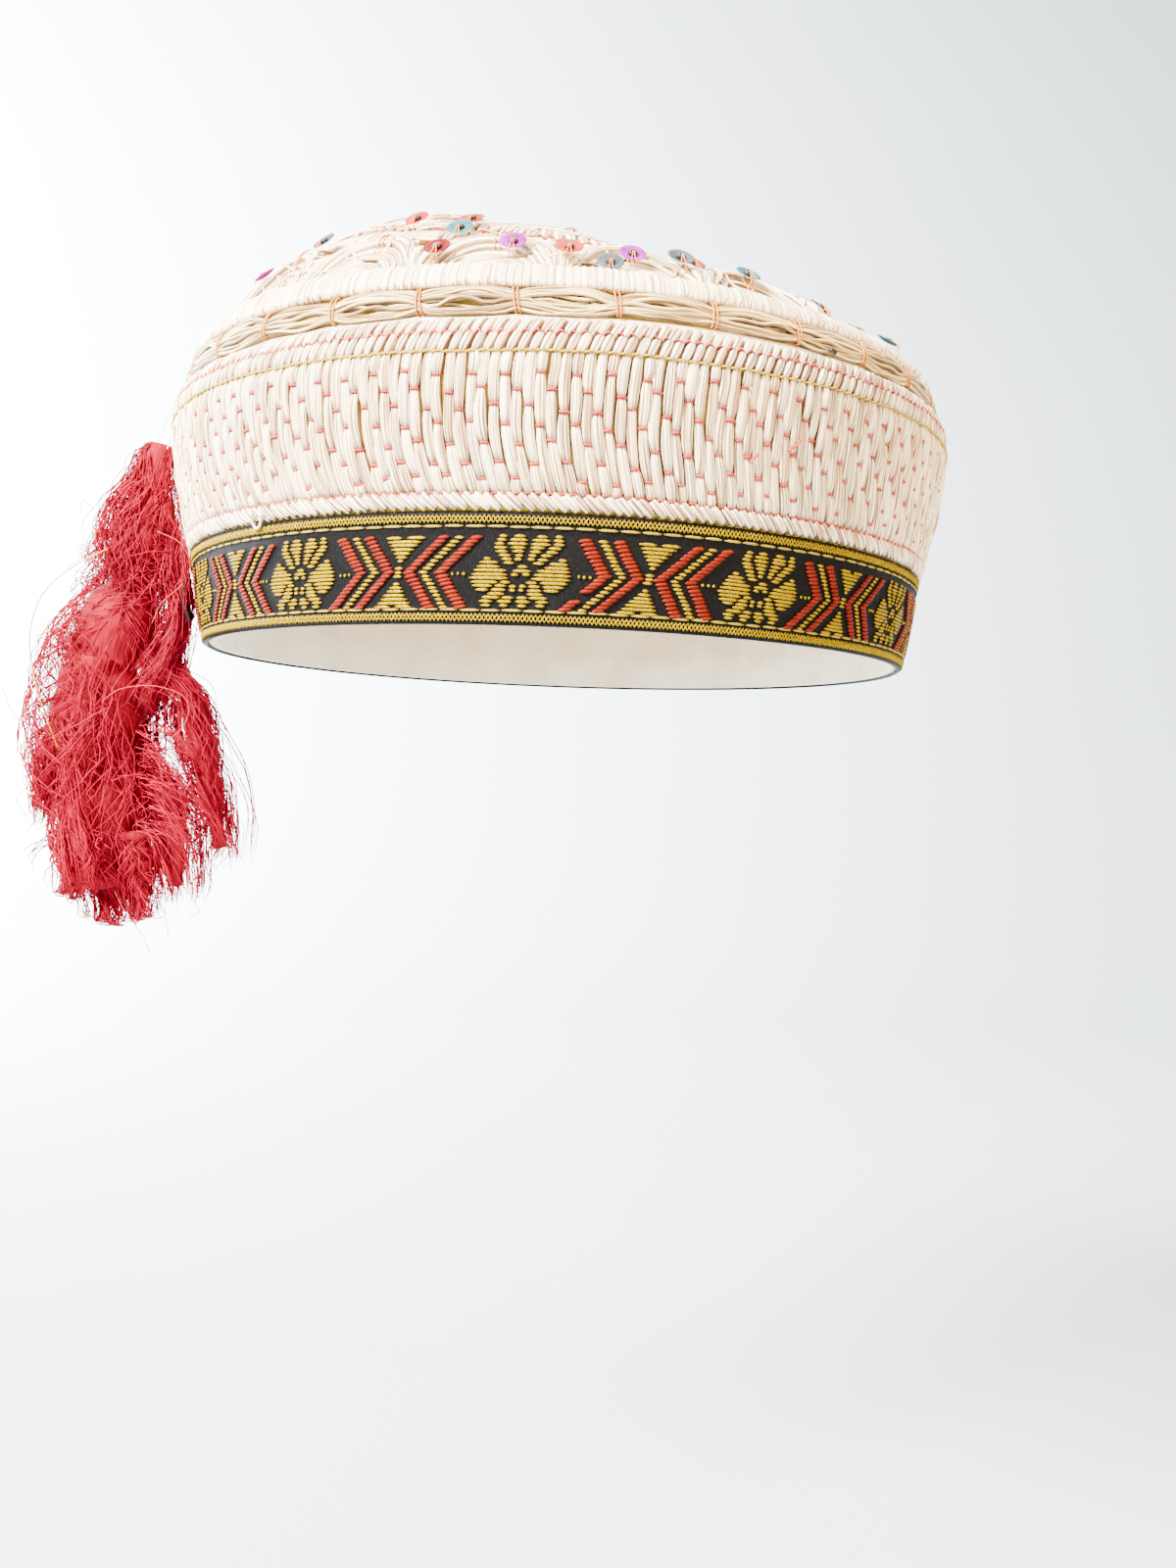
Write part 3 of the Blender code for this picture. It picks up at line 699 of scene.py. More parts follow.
def build_edge_rows():
    """Slanted stitches: two rows over the yellow line, and one along the ribbon."""
    pile = Pile(4)
    random = pile.random
    columns = np.arange(WALL_COLUMNS)[:, None]
    share = np.linspace(0, 1, 5)[None]
    fat = blunt(share, 0.12, 0.3)
    number = WALL_COLUMNS
    # between the yellow and the pink line
    z = YELLOW_LINE + 0.1 + (PINK_LINE - YELLOW_LINE) * share
    arc = columns * COLUMN_STEP + 0.4 + 1.7 * share + random.uniform(-0.15, 0.15, (number, 1))
    path, normal = on_wall(arc, z, np.full_like(arc, -CLOTH_UNDER))
    wide = random.uniform(0.94, 1.14, (number, 1))
    high = random.uniform(1.1, 1.45, (number, 1))
    pile.tubes(path, normal, wide * fat, high * fat, puff_section(7, 0.55, 0.14))
    # from the pink line over the top edge
    top = 54.75 + random.uniform(-0.35, 0.25, (number, 1))
    z = PINK_LINE + 0.1 + (top - PINK_LINE) * share
    arc = columns * COLUMN_STEP + 2.1 + 1.9 * share + random.uniform(-0.2, 0.2, (number, 1))
    path, normal = on_wall(arc, z, np.full_like(arc, -CLOTH_UNDER + 0.1))
    high = random.uniform(1.1, 1.45, (number, 1))
    fat_top = np.sin(math.pi * (0.12 + 0.72 * share)) ** 0.3
    pile.tubes(path, normal, wide * fat_top, high * fat_top, puff_section(7, 0.55, 0.14))
    # rope-like stitches below the lower pink line
    z = WALL_BOTTOM - 0.1 - 2.6 * share
    arc = columns * COLUMN_STEP + 2.6 + 2.9 * share + random.uniform(-0.25, 0.25, (number, 1))
    path, normal = on_wall(arc, z, np.full_like(arc, -CLOTH_UNDER + 0.25))
    high = random.uniform(1.2, 1.5, (number, 1))
    pile.tubes(path, normal, wide * fat, high * fat, puff_section(7, 0.55, 0.14))
    pile.build("edge_stitches", EDGE_FLOSS, None)

    # Continuous threads that dip between the columns: name, material, seed and radius, then the
    # height with its swing and lag, and the depth with its swing and lag
    count = WALL_COLUMNS * 5
    share = np.arange(count)[None] / count
    arc = share * WALL_ROUND
    phase = arc / COLUMN_STEP * TAU
    wobble = sum(
        amplitude * np.sin(turns * TAU * share + turns)
        for turns, amplitude in ((7, 0.08), (13, 0.07), (29, 0.06), (61, 0.05))
    )
    for name, material, seed, radius, z, swing, lag, sunk, dip, dip_lag in (
        ("yellow_line", YELLOW, 5, 0.22, YELLOW_LINE, 0.05, math.pi / 2, 0.42, 0.35, 0.4),
        ("pink_line_upper", PINK, 6, 0.24, PINK_LINE, 0.30, 3.4, 0.62, 0.42, 3.6),
        ("pink_line_lower", PINK, 7, 0.24, WALL_BOTTOM, 0.12, 1.6, 0.62, 0.40, 1.8),
    ):
        thread = Pile(seed)
        out = -sunk + dip * np.cos(phase - dip_lag)
        place, normal = on_wall(arc, z + swing * np.cos(phase - lag) + wobble, out)
        thread.tubes(place, normal, radius, radius, round_section(4), closed=True)
        thread.build(name, material, None)


# ---------------------------------------------------------------- ribbon
PERIODS = 12
PERIOD = RIBBON_ROUND / PERIODS
FLOWER_AT = 135.0 - 282.69 / 2  # a flower's middle, from the front
ROW_PITCH = 0.69
ROWS_MIDDLE = 9.75
CHART_STEP = 0.908
SHEAR = 0.26
# Right half of the flower, row by row from its top, as stretches of gold thread
FLOWER = [
    [(1.1, 3.4), (4.8, 6.4)],
    [(0.5, 4.1), (4.7, 6.7)],
    [(0.35, 4.2), (4.8, 7.0)],
    [(0.4, 3.4), (4.1, 6.8)],
    [(0.5, 2.9), (3.7, 6.3)],
    [(0.5, 2.2), (2.9, 5.4)],
    [(0.5, 2.0), (2.5, 4.8), (6.7, 8.3)],
    [(1.8, 4.1), (5.2, 8.9)],
    [(0.0, 1.1), (4.5, 9.3)],
    [(0.0, 1.8), (3.0, 9.9)],
    [(0.35, 1.8), (2.6, 10.1)],
    [(2.3, 10.3)],
    [(1.6, 3.8), (4.3, 9.9)],
    [(0.3, 1.7), (2.2, 4.6), (5.0, 9.3)],
    [(0.3, 1.6), (2.1, 5.2), (5.6, 8.5)],
    [(2.4, 5.6)],
    [(0.3, 2.6), (2.9, 6.8)],
    [(0.3, 3.4), (4.4, 7.2)],
    [(1.0, 2.8), (4.6, 6.7)],
]
WORN_ROWS = (-6, -5)  # missing from the red chevron right of the front flower


def motif_threads():
    """Every stretch of raised thread on the ribbon: colour, start and end along it, and height."""
    gold, red = [], []
    for period in range(PERIODS):
        flower = FLOWER_AT + PERIOD * period
        middle_row = (len(FLOWER) - 1) / 2
        for number, row in enumerate(FLOWER):
            height = ROWS_MIDDLE + (middle_row - number) * ROW_PITCH
            for start, end in row:
                if start == 0.0:
                    gold.append((flower - end * CHART_STEP, flower + end * CHART_STEP, height))
                    continue
                for side in (-1, 1):
                    a, b = sorted((side * start * CHART_STEP, side * end * CHART_STEP))
                    gold.append((flower + a, flower + b, height))
        for side in (-1, 1):
            for dot in (10.6, 11.7, 12.7):
                at = flower + side * dot
                gold.append((at - 0.28, at + 0.28, ROWS_MIDDLE - 0.7))
        cross = flower + PERIOD / 2
        for row in range(-9, 10):
            height = ROWS_MIDDLE - 0.45 + row * ROW_PITCH
            off = abs(row) * ROW_PITCH * 0.87
            for side in (-1, 1):
                for start, end, kind in ((0.95, 3.2, red), (4.2, 5.9, gold), (7.1, 9.5, red)):
                    a, b = sorted((side * (start + off), side * (end + off)))
                    if period == 0 and side < 0 and start > 7 and row in WORN_ROWS:
                        continue
                    kind.append((cross + a, cross + b, height))
            if abs(row) <= 1:
                gold.append((cross - 0.85, cross + 0.85, height))
            elif abs(row) >= 3:
                wide = 0.55 * (abs(row) - 2) + 0.1
                if abs(row) == 9:
                    gold.append((cross - wide, cross - 0.5, height))
                    gold.append((cross + 0.5, cross + wide, height))
                else:
                    gold.append((cross - wide, cross + wide, height))
    return gold, red


def lay_bars(pile, bars, out, half_height, half_width, step, tilt=0.0, knots=0.0):
    """Rounded bars of thread along the ribbon, gathered by how many stations they need."""
    random = pile.random
    groups = {}
    for start, end, height in bars:
        stations = max(4, int(round((end - start) / step)) + 2)
        groups.setdefault(stations, []).append((start, end, height))
    for stations, rows in sorted(groups.items()):
        rows = np.array(rows)
        number = len(rows)
        share = np.linspace(0, 1, stations)[None]
        jitter = random.uniform(-0.12, 0.12, (number, 2))
        start = rows[:, 0:1] + jitter[:, 0:1]
        end = rows[:, 1:2] + jitter[:, 1:2]
        height = rows[:, 2:3] + random.uniform(-0.05, 0.05, (number, 1))
        arc = start + (end - start) * share
        z = height + tilt * (share - 0.5) * (end - start)
        arc = arc + SHEAR * (z - RIBBON_HEIGHT / 2)
        round_end = np.sqrt(np.clip(1 - np.abs(2 * share - 1) ** 6, 0.12, 1))
        beat = TAU * np.arange(stations) / 2 + random.uniform(0, TAU, (number, 1))
        size = round_end * (1 - knots * (0.5 + 0.5 * np.cos(beat)))
        place, normal = on_ribbon(arc, z, np.full_like(arc, out))
        pile.tubes(place, normal, half_width * size, half_height * size, round_section(5))


def build_ribbon():
    pile = Pile(20)
    arcs = np.linspace(0, RIBBON_ROUND, 289)[:-1]
    turns = turn_at(arcs, RIBBON_ARC, RIBBON_ROUND)
    heights = [0.0, 0.35, 0.7, 5, 10.1, 15, 19.5, 19.85, 20.2]
    outs = [-0.35, 0.0, -0.12, -0.12, -0.12, -0.12, -0.12, 0.0, -0.35]
    rows = [oval_point(turns, ribbon_half(h) + out, h) for h, out in zip(heights, outs)]
    rows += [oval_point(turns, ribbon_half(h) - 0.95, h) for h in (20.2, 10.1, 0.0)]
    points = np.stack(rows + [rows[0]])
    pile.sheet(points)
    pile.marks = [np.stack([np.broadcast_to(arcs, points.shape[:2]), points[..., 2]], -1).reshape(-1, 2)]
    band = pile.build("ribbon_band", SATIN, "ribbon_weave")
    weld(band)
    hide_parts("rim_ribbon")

    gold, red = motif_threads()
    pile = Pile(21)
    lay_bars(pile, gold, 0.12, 0.26, 0.35, 1.1, knots=0.12)
    flowers = pile.build("ribbon_gold", GOLD, None)
    pile = Pile(22)
    lay_bars(pile, red, 0.10, 0.34, 0.43, 0.8, tilt=0.16)
    chevrons = pile.build("ribbon_red", RED_STITCH, None)

    pile = Pile(23)
    stitches = []
    count = int(RIBBON_ROUND / 4.0)
    for i in range(count):
        start = i * RIBBON_ROUND / count
        stitches.append((start, start + 3.62, 2.62))
        stitches.append((start + 1.3, start + 4.92, RIBBON_HEIGHT - 2.62))
    lay_bars(pile, stitches, 0.08, 0.24, 0.26, 1.2)
    runs = pile.build("ribbon_running_stitch", OLIVE, None)

    pile = Pile(24)
    waves = int(RIBBON_ROUND / 1.62)
    steps = waves * 4
    share = np.arange(steps)[None] / steps
    for middle in (1.28, RIBBON_HEIGHT - 1.28):
        for phase in (0, math.pi):
            angle = share * waves * TAU + phase
            z = middle + 0.62 * np.sin(angle)
            place, normal = on_ribbon(share * RIBBON_ROUND, z, 0.10 + 0.10 * np.cos(angle * 2 + phase))
            pile.tubes(place, normal, 0.19, 0.20, round_section(4), closed=True)
    borders = pile.build("ribbon_borders", GOLD, None)


# ---------------------------------------------------------------- crown
def smooth_step(start, end, at):
    share = np.clip((at - start) / (end - start), 0, 1)
    return share * share * (3 - 2 * share)


def dome_height(x, y):
    """Height of the crown's cloth: a leaning cone, rounded at its peak, on a rounded shoulder."""
    level = np.hypot(x / CROWN_HALF_X, y / CROWN_HALF_Y)
    away_x = x + PEAK_TO_LEFT
    away_y = y + PEAK_TO_FRONT
    square = (away_x / CROWN_HALF_X) ** 2 + (away_y / CROWN_HALF_Y) ** 2 + 1e-12
    mixed = -PEAK_TO_LEFT * away_x / CROWN_HALF_X**2 - PEAK_TO_FRONT * away_y / CROWN_HALF_Y**2
    rest = (PEAK_TO_LEFT / CROWN_HALF_X) ** 2 + (PEAK_TO_FRONT / CROWN_HALF_Y) ** 2 - 1
    share = np.minimum(1, square / (np.sqrt(mixed**2 - square * rest) - mixed))
    fall = np.hypot(share, PEAK_ROUNDING) - PEAK_ROUNDING
    fall = np.minimum(1, fall / (math.hypot(1, PEAK_ROUNDING) - PEAK_ROUNDING))
    rise = CROWN_RISE * (1 - fall**CROWN_CONE) ** CROWN_FULLNESS
    inward = np.clip((1 - level) / SHOULDER_WIDTH, 0, 1)
    return WALL_HEIGHT + SEAM_GAP + rise + CROWN_SHOULDER * np.sqrt(1 - (1 - inward) ** 2)


def dome_point(reach, turn):
    x = CROWN_HALF_X * reach * np.cos(turn)
    y = CROWN_HALF_Y * reach * np.sin(turn)
    return np.stack([x, y, dome_height(x, y)], -1)


def dome_normal(reach, turn):
    reach = np.maximum(reach, 0.012)
    step = np.minimum(0.004, np.maximum((1 - reach) / 2, 0.00001))
    down = dome_point(reach + step, turn) - dome_point(reach - step, turn)
    ahead = dome_point(reach, turn + 0.01) - dome_point(reach, turn - 0.01)
    return unit(np.cross(down, ahead))


def ridge_reach(turn):
    """Where the arches' ridge runs: reach is 0 in the middle and 1 at the rim."""
    swing = np.abs(np.cos(ARCHES / 2 * (turn - ARCH_TURN))) ** 0.7
    return ARCH_FOOT - ARCH_DEPTH * swing


def relief(reach, turn):
    """How far arches, rosette and button stand up."""
    arch = ARCH_HEIGHT * np.exp(-(((reach - ridge_reach(turn)) / ARCH_WIDTH) ** 2))
    petal = 0.5 + 0.5 * np.cos(ROSETTE_PETALS * turn)
    rosette = ROSETTE_HEIGHT * petal * np.exp(-(((reach - ROSETTE_REACH) / ROSETTE_WIDTH) ** 2))
    button = BUTTON_HEIGHT * np.exp(-((reach / BUTTON_REACH) ** 2))
    return (arch + rosette + button) * (1 - smooth_step(ARCH_FOOT, RELIEF_END, reach))


CROWN_UNDER = 1.2  # how far the crown's floss starts under its relief


def on_dome(reach, turn, over=-CROWN_UNDER):
    """Points and normals over the crown's padded relief."""
    reach, turn, over = np.broadcast_arrays(reach, turn, over)
    normal = dome_normal(reach, turn)
    lift = over + relief(reach, turn)
    return dome_point(reach, turn) + normal * lift[..., None], normal


def build_crown_cloth():
    pile = Pile(30)
    turns = np.linspace(0, TAU, 217)[:-1]
    outside = [0.012, 0.05, 0.10, 0.17, 0.24, 0.31, 0.38, 0.45, 0.52, 0.59, 0.65, 0.70, 0.74, 0.77,
               0.795, 0.82, 0.845, 0.87, 0.895, 0.92, 0.94, 0.955, 0.965, 0.975, 0.985, 0.992, 0.997,
               0.9995]
    rows = [on_dome(reach, turns, -1.25 * smooth_step(1.0, 0.96, reach))[0] for reach in outside]
    keep = 1 - CROWN_THICKNESS / CROWN_HALF_X
    rows.append(oval_point(turns, CROWN_HALF_X - 0.4, WALL_HEIGHT + SEAM_GAP))
    for reach in (0.9999, 0.98, 0.94, 0.86, 0.70, 0.50, 0.28, 0.10, 0.012):
        point = dome_point(reach, turns)
        drop = CROWN_THICKNESS * smooth_step(1, 0.95, reach)
        rows.append(np.stack([point[:, 0] * keep, point[:, 1] * keep, point[:, 2] - drop], -1))
    points = np.stack(rows)
    pile.sheet(points)
    count = len(turns)
    bands = (len(points) - 1) * count
    # a cap over the first row, then one over the last
    pile.loops.append(np.concatenate([np.arange(count)[::-1], bands + np.arange(count)]))
    pile.sizes.append(np.array([count, count]))
    piece = pile.build("crown_cloth", MUSTARD, "crown_floss")
    piece.data.materials.append(LINING)
    for face in piece.data.polygons:
        if face.index >= len(outside) * count and face.index != bands:
            face.material_index = 1
    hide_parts("crown")


def build_crown_floss():
    pile = Pile(31)
    random = pile.random
    half = TAU / ARCHES / 2
    # arches: nested bundles that fill each scallop, the outermost on its ridge
    lanes = 8
    rows = np.array([
        (ARCH_TURN + TAU / ARCHES * arch, lane / (lanes - 1))
        for arch in range(ARCHES) for lane in range(lanes)
    ])
    middle, lane = rows[:, 0:1], rows[:, 1:2]
    share = np.linspace(-1, 1, 11)[None]
    bulge = (1 - np.abs(share) ** 2.4) ** 0.8
    turn = middle + share * half * (0.26 + 0.72 * lane) + random.uniform(-0.004, 0.004, (len(rows), 1))
    reach = 0.944 - (0.018 + 0.126 * lane) * bulge + 0.004 * random.uniform(-1, 1, (len(rows), 1)) * bulge
    path, normal = on_dome(reach, turn)
    wide = 1.06 * (0.62 + 0.38 * bulge) * random.uniform(0.92, 1.12, (len(rows), 1))
    tall = random.uniform(1.25, 1.6, (len(rows), 1)) * (0.6 + 0.4 * bulge)
    pile.tubes(path, normal, wide, tall, puff_section(7, 0.65, 0.12))
    # splayed bundles between the arches' feet
    steps = np.arange(ARCHES * 5)[:, None]
    share = np.linspace(0, 1, 6)[None]
    splay = (steps % 5 - 2) * 0.021
    turn = ARCH_TURN + (steps // 5 + 0.5) * TAU / ARCHES + splay * (1.9 - 1.7 * share)
    reach = 0.775 + 0.02 * np.abs(steps % 5 - 2) + (0.165 - 0.02 * np.abs(steps % 5 - 2)) * share
    fat = blunt(share, 0.08, 0.4)
    path, normal = on_dome(reach, turn + random.uniform(-0.004, 0.004, turn.shape))
    pile.tubes(path, normal, 1.15 * fat, 1.35 * fat, puff_section(7, 0.65, 0.12))
    # two staggered rings of radial bundles inside the arches
    for number, (inner, outer, count) in enumerate(((0.665, 0.785, 150), (0.545, 0.665, 126))):
        steps = np.arange(count)[:, None]
        share = np.linspace(0, 1, 6)[None]
        turn = (steps + 0.5 * number) * TAU / count + 0.01 * share
        inner_edge = inner + random.uniform(-0.008, 0.008, (count, 1))
        outer_edge = outer - 0.03 * (0.5 - 0.5 * np.cos(ARCHES * (turn - ARCH_TURN))) + 0.01
        reach = inner_edge + (outer_edge - inner_edge) * share
        fat = blunt(share, 0.05, 0.5)
        path, normal = on_dome(reach, turn)
        width = (inner + outer) / 2 * CROWN_MEAN * TAU / count / 2 * 1.08
        pile.tubes(path, normal, width * fat, 1.45 * fat, puff_section(7, 0.65, 0.12))
    # rosette: each petal of nested bundles round its middle
    rows = []
    for petal in range(ROSETTE_PETALS):
        for lane in (-1.0, -0.66, -0.33, 0.0, 0.33, 0.66, 1.0):
            rows.append((TAU * petal / ROSETTE_PETALS, lane))
    rows = np.array(rows)
    middle, lane = rows[:, 0:1], rows[:, 1:2]
    share = np.linspace(0, 1, 14)[None]
    reach = 0.10 + (0.43 - 0.05 * lane**2) * share
    turn = middle + lane * 0.34 * np.sin(math.pi * np.clip(share, 0, 1) ** 0.85) ** 0.8 * (1 - 0.25 * share)
    fat = blunt(share, 0.05, 0.45)
    path, normal = on_dome(reach, turn)
    wide = np.clip(0.075 * reach * CROWN_MEAN, 0.7, 2.6)
    pile.tubes(path, normal, wide * fat, 1.5 * fat, puff_section(9, 0.7, 0.10))
    # small bundles between the petals, and the button
    steps = np.arange(ROSETTE_PETALS * 3)[:, None]
    share = np.linspace(0, 1, 8)[None]
    turn = (steps // 3 + 0.5) * TAU / ROSETTE_PETALS + (steps % 3 - 1) * 0.085 * (0.6 + 0.4 * share)
    reach = 0.36 + 0.165 * share
    fat = blunt(share, 0.05, 0.5)
    path, normal = on_dome(reach, turn)
    pile.tubes(path, normal, 1.7 * fat, 1.4 * fat, puff_section(9, 0.7, 0.10))
    steps = np.arange(14)[:, None]
    turn = steps * TAU / 14 + 0.15 * share
    reach = 0.02 + 0.075 * share
    path, normal = on_dome(reach, turn)
    pile.tubes(path, normal, (0.55 + 1.0 * share) * fat, 1.3 * fat, puff_section(7, 0.7))
    pile.build("crown_floss", CROWN_FLOSS, "crown_floss")

    # threads that hold the crown's floss down
    pile = Pile(32)
    turn = np.arange(900)[None] / 900 * TAU
    path, normal = on_dome(0.665, turn, -0.35 + 0.25 * np.cos(turn * 150))
    pile.tubes(path, normal, 0.24, 0.24, round_section(4), closed=True)
    pile.build("crown_pink_lines", PINK, None)
    pile = Pile(33)
    centres = ARCH_TURN + TAU / ARCHES * np.arange(ARCHES)[:, None]
    share = np.linspace(-1, 1, 9)[None]
    for shift in (-0.007, 0.007):
        reach = ridge_reach(centres) + 0.018 + 0.042 * share
        over = -0.5 + 0.75 * np.sqrt(np.clip(1 - share**2, 0, 1))
        path, normal = on_dome(reach, centres + shift + 0.006 * share, over)
        pile.tubes(path, normal, 0.16, 0.16, round_section(5))
    pile.build("arch_ties", ORANGE, None)

    # loose strands worked free of the bundles
    pile = Pile(34)
    random = pile.random
    count = 480
    share = np.linspace(0, 1, 8)[None]
    reach = np.sqrt(random.uniform(0.10, 0.87, (count, 1)))
    turn = random.uniform(0, TAU, (count, 1))
    heading = random.uniform(0, TAU, (count, 1)) + random.uniform(-1.6, 1.6, (count, 1)) * share
    run = random.uniform(6, 17, (count, 1)) / 7
    reach = reach + np.cumsum(0.55 * np.cos(heading), axis=1) * run / CROWN_MEAN
    turn = turn + np.cumsum(np.sin(heading), axis=1) * run / (CROWN_MEAN * np.clip(reach, 0.15, 1))
    reach = np.clip(reach, 0.05, 0.945)
    over = -0.1 + 0.45 * np.sin(math.pi * share) * random.uniform(0.1, 1.0, (count, 1))
    path, normal = on_dome(reach, turn, over)
    fine = random.uniform(0.18, 0.42, (count, 1))
    pile.tubes(path, normal, fine, fine * 0.8, round_section(4))
    pile.build("crown_loose_strands", CROWN_FLOSS, None)


# ---------------------------------------------------------------- rope and padded ring on the edge
def shoulder(psi, turn, over):
    """A point over the crown's rounded edge: psi is 0 at the rim and a right angle at its top."""
    reach = 1 - SHOULDER_WIDTH * (1 - np.cos(psi))
    reach, turn, over, psi = np.broadcast_arrays(reach, turn, over, psi)
    point = dome_point(np.minimum(reach, 0.99999), turn)
    half = CROWN_HALF_X * SHOULDER_WIDTH
    flat = oval_normal(turn, np.full_like(turn, CROWN_HALF_X), 0)
    outward = np.cos(psi) / half
    upward = np.sin(psi) / CROWN_SHOULDER
    normal = unit(np.stack([flat[..., 0] * outward, flat[..., 1] * outward, upward], -1))
    return point + normal * over[..., None], normal


def build_rope():
    pile = Pile(40)
    random = pile.random
    per_cell = 9
    cells = ROPE_TIES
    steps = cells * per_cell
    share = np.arange(steps)[None] / steps
    turn = share * TAU
    cell = np.arange(steps) // per_cell
    within = (np.arange(steps) % per_cell) / per_cell
    belly = np.sin(math.pi * within)[None] ** 0.8
    gap_at = random.uniform(-0.45, 0.45, cells)[cell][None]
    gap_wide = random.choice([0.10, 0.26, 0.38, 0.46], cells)[cell][None]
    second_at = np.where(gap_at > 0, gap_at - 0.75, gap_at + 0.75)
    second_wide = random.choice([0.0, 0.14, 0.24], cells)[cell][None]
    strands = []
    for count, over in ((13, 0.45), (11, 1.15), (8, 1.75)):
        strands += [(-0.95 + 1.9 * i / (count - 1), over) for i in range(count)]
    strands = np.array(strands)
    across, over = strands[:, 0:1], strands[:, 1:2]
    number = len(strands)
    wander = np.zeros((number, steps))
    for turns in (11, 17, 23, 37, 53):
        swing = random.uniform(0.02, 0.06, (number, 1))
        wander += swing * np.sin(turns * TAU * share + random.uniform(0, TAU, (number, 1)))
    place = across * (0.62 + 0.30 * belly) + wander
    push = np.tanh((place - gap_at) / 0.10)
    place = place + push * gap_wide * belly * (1 - np.abs(place) * 0.45)
    place = place + np.tanh((place - second_at) / 0.10) * second_wide * belly * (1 - np.abs(place) * 0.5)
    place = np.clip(place, -1.12, 1.12)
    bare = random.choice([0.0, 0.0, 0.25, 0.4], cells)[cell][None] * belly
    psi = np.radians(19 + 17 * np.where(place < 0, place * (1 - bare), place))
    high = over * (0.72 + 0.28 * belly) * (1 - 0.35 * np.clip(place, -1, 1) ** 2) + wander
    high = np.clip(high, 0.3, 2.3)
    path, normal = shoulder(psi, turn, high)
    radius = random.uniform(0.30, 0.48, (number, 1))
    # two points of each strand's outline carry painted dark lines of shade along it
    pile.tubes(path, normal, radius * 1.15, radius * 0.85, round_section(5, dark=(0, 3)), closed=True)
    rope = pile.build("rope_floss", ROPE_FLOSS, "rope_floss")
    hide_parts("edge_floss_ring")

    pile = Pile(41)
    ties = np.arange(cells)[:, None] * TAU / cells
    share = np.linspace(-1, 1, 9)[None]
    for shift in (-0.004, 0.0045):
        psi = np.radians(19 + 22 * share)
        over = 0.45 + 1.45 * np.sqrt(np.clip(1 - share**2, 0, 1))
        turn = ties + shift + 0.006 * share * random.uniform(-1, 1, (cells, 1))
        path, normal = shoulder(psi, turn, over)
        pile.tubes(path, normal, 0.17, 0.17, round_section(5))
    pile.build("rope_ties", ORANGE, None)

    # brown ticks where the ring's satin stitches dive into the cloth
    pile = Pile(43)
    ticks = 300
    turn = (np.arange(ticks)[:, None] + pile.random.uniform(-0.35, 0.35, (ticks, 1))) * TAU / ticks
    share = np.linspace(0, 1, 4)[None]
    length = pile.random.uniform(2.0, 7.0, (ticks, 1))
    psi = np.radians(37 + length * share)
    over = 0.5 + (0.35 + 0.22 * length) * share**0.7
    path, normal = shoulder(psi, turn + 0.002 * share, over)
    pile.tubes(path, normal, 0.15, 0.15, round_section(4))
    pile.build("ring_ticks", BROWN, None)


def build_padded_ring():
    pile = Pile(42)
    random = pile.random
    steps = 1440
    ribs = 360
    turn = np.arange(steps) / steps * TAU
    each = np.repeat(random.uniform(-0.10, 0.10, ribs), steps // ribs)
    rib = np.abs(np.cos(turn * ribs / 2)) * 0.22 + each + np.interp(
        turn, np.linspace(0, TAU, 121), np.append(random.uniform(-0.14, 0.14, 120), 0)
    )
    low, high = math.radians(40), math.radians(85)
    # the ring is pressed flatter on the right
    away = (turn - math.radians(320) + math.pi) % TAU - math.pi
    flat = 1 - 0.5 * np.exp(-(away / 0.75) ** 2)
    rows = []
    tops = 9
    for i in range(tops):
        angle = math.pi * i / (tops - 1)
        psi = (low + high) / 2 - (high - low) / 2 * math.cos(angle)
        lift = 0.25 + (flat * (RING_HEIGHT - 0.4) + rib) * math.sin(angle) ** 0.6
        rows.append(shoulder(np.full(steps, psi), turn, lift)[0])
    rows.append(shoulder(np.full(steps, (low + high) / 2), turn, np.full(steps, 0.15))[0])
    rows.append(rows[0])
    points = np.stack(rows)
    pile.sheet(points)
    arcs = np.broadcast_to(turn * CROWN_MEAN, points.shape[:2])
    across = np.linspace(0, 8, len(rows))[:, None]
    pile.marks = [np.stack([arcs, np.broadcast_to(across, arcs.shape)], -1).reshape(-1, 2)]
    # painted shade: depth falls towards the ring's foot, and line darkens the grooves between its ribs
    height = np.sin(np.linspace(0, math.pi, tops))
    depth = np.append(np.append(height, 0), height[0])
    pile.depths = [np.repeat(0.12 + 0.88 * depth, steps)]
    pile.lines = [np.tile(np.where(np.arange(steps) % 4 == 2, 0.25, 1.0), len(rows))]
    ring = pile.build("ring_floss", RING_FLOSS, "ring_floss")
    weld(ring, turn_out=True)
    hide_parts("padded_ring")


# ---------------------------------------------------------------- sequins
SEEN = "grey coral teal red coral magenta coral grey magenta grey teal red grey teal".split()
CYCLE = "magenta teal coral red grey".split()
# the row that shows in the photo, the rest of it, the inner ring and the middle
SEQUIN_COLOURS = SEEN + [CYCLE[i % 5] for i in range(11)]
SEQUIN_COLOURS += [CYCLE[(i + 2) % 5] for i in range(6)] + ["magenta"]
FILM = {
    "magenta": ((0.26, 0.004, 0.26), (0.14, 0.0, 0.14)),
    "teal": ((0.02, 0.12, 0.16), (0.008, 0.05, 0.075)),
    "red": ((0.13, 0.001, 0.002), (0.05, 0.0, 0.001)),
    "coral": ((0.30, 0.02, 0.012), (0.17, 0.006, 0.006)),
    "grey": ((0.06, 0.075, 0.085), (0.02, 0.026, 0.032)),
}
SEQUIN_TIP = (0.40, 0.85)  # least and most tip towards the rim
SEQUIN_LIFT = 0.75
DISC = [(0.45, 0.10), (1.1, 0.14), (1.6, 0.24), (2.1, 0.36), (2.6, 0.52), (2.64, 0.62), (2.58, 0.70),
        (2.05, 0.54), (1.6, 0.42), (1.1, 0.30), (0.45, 0.26)]
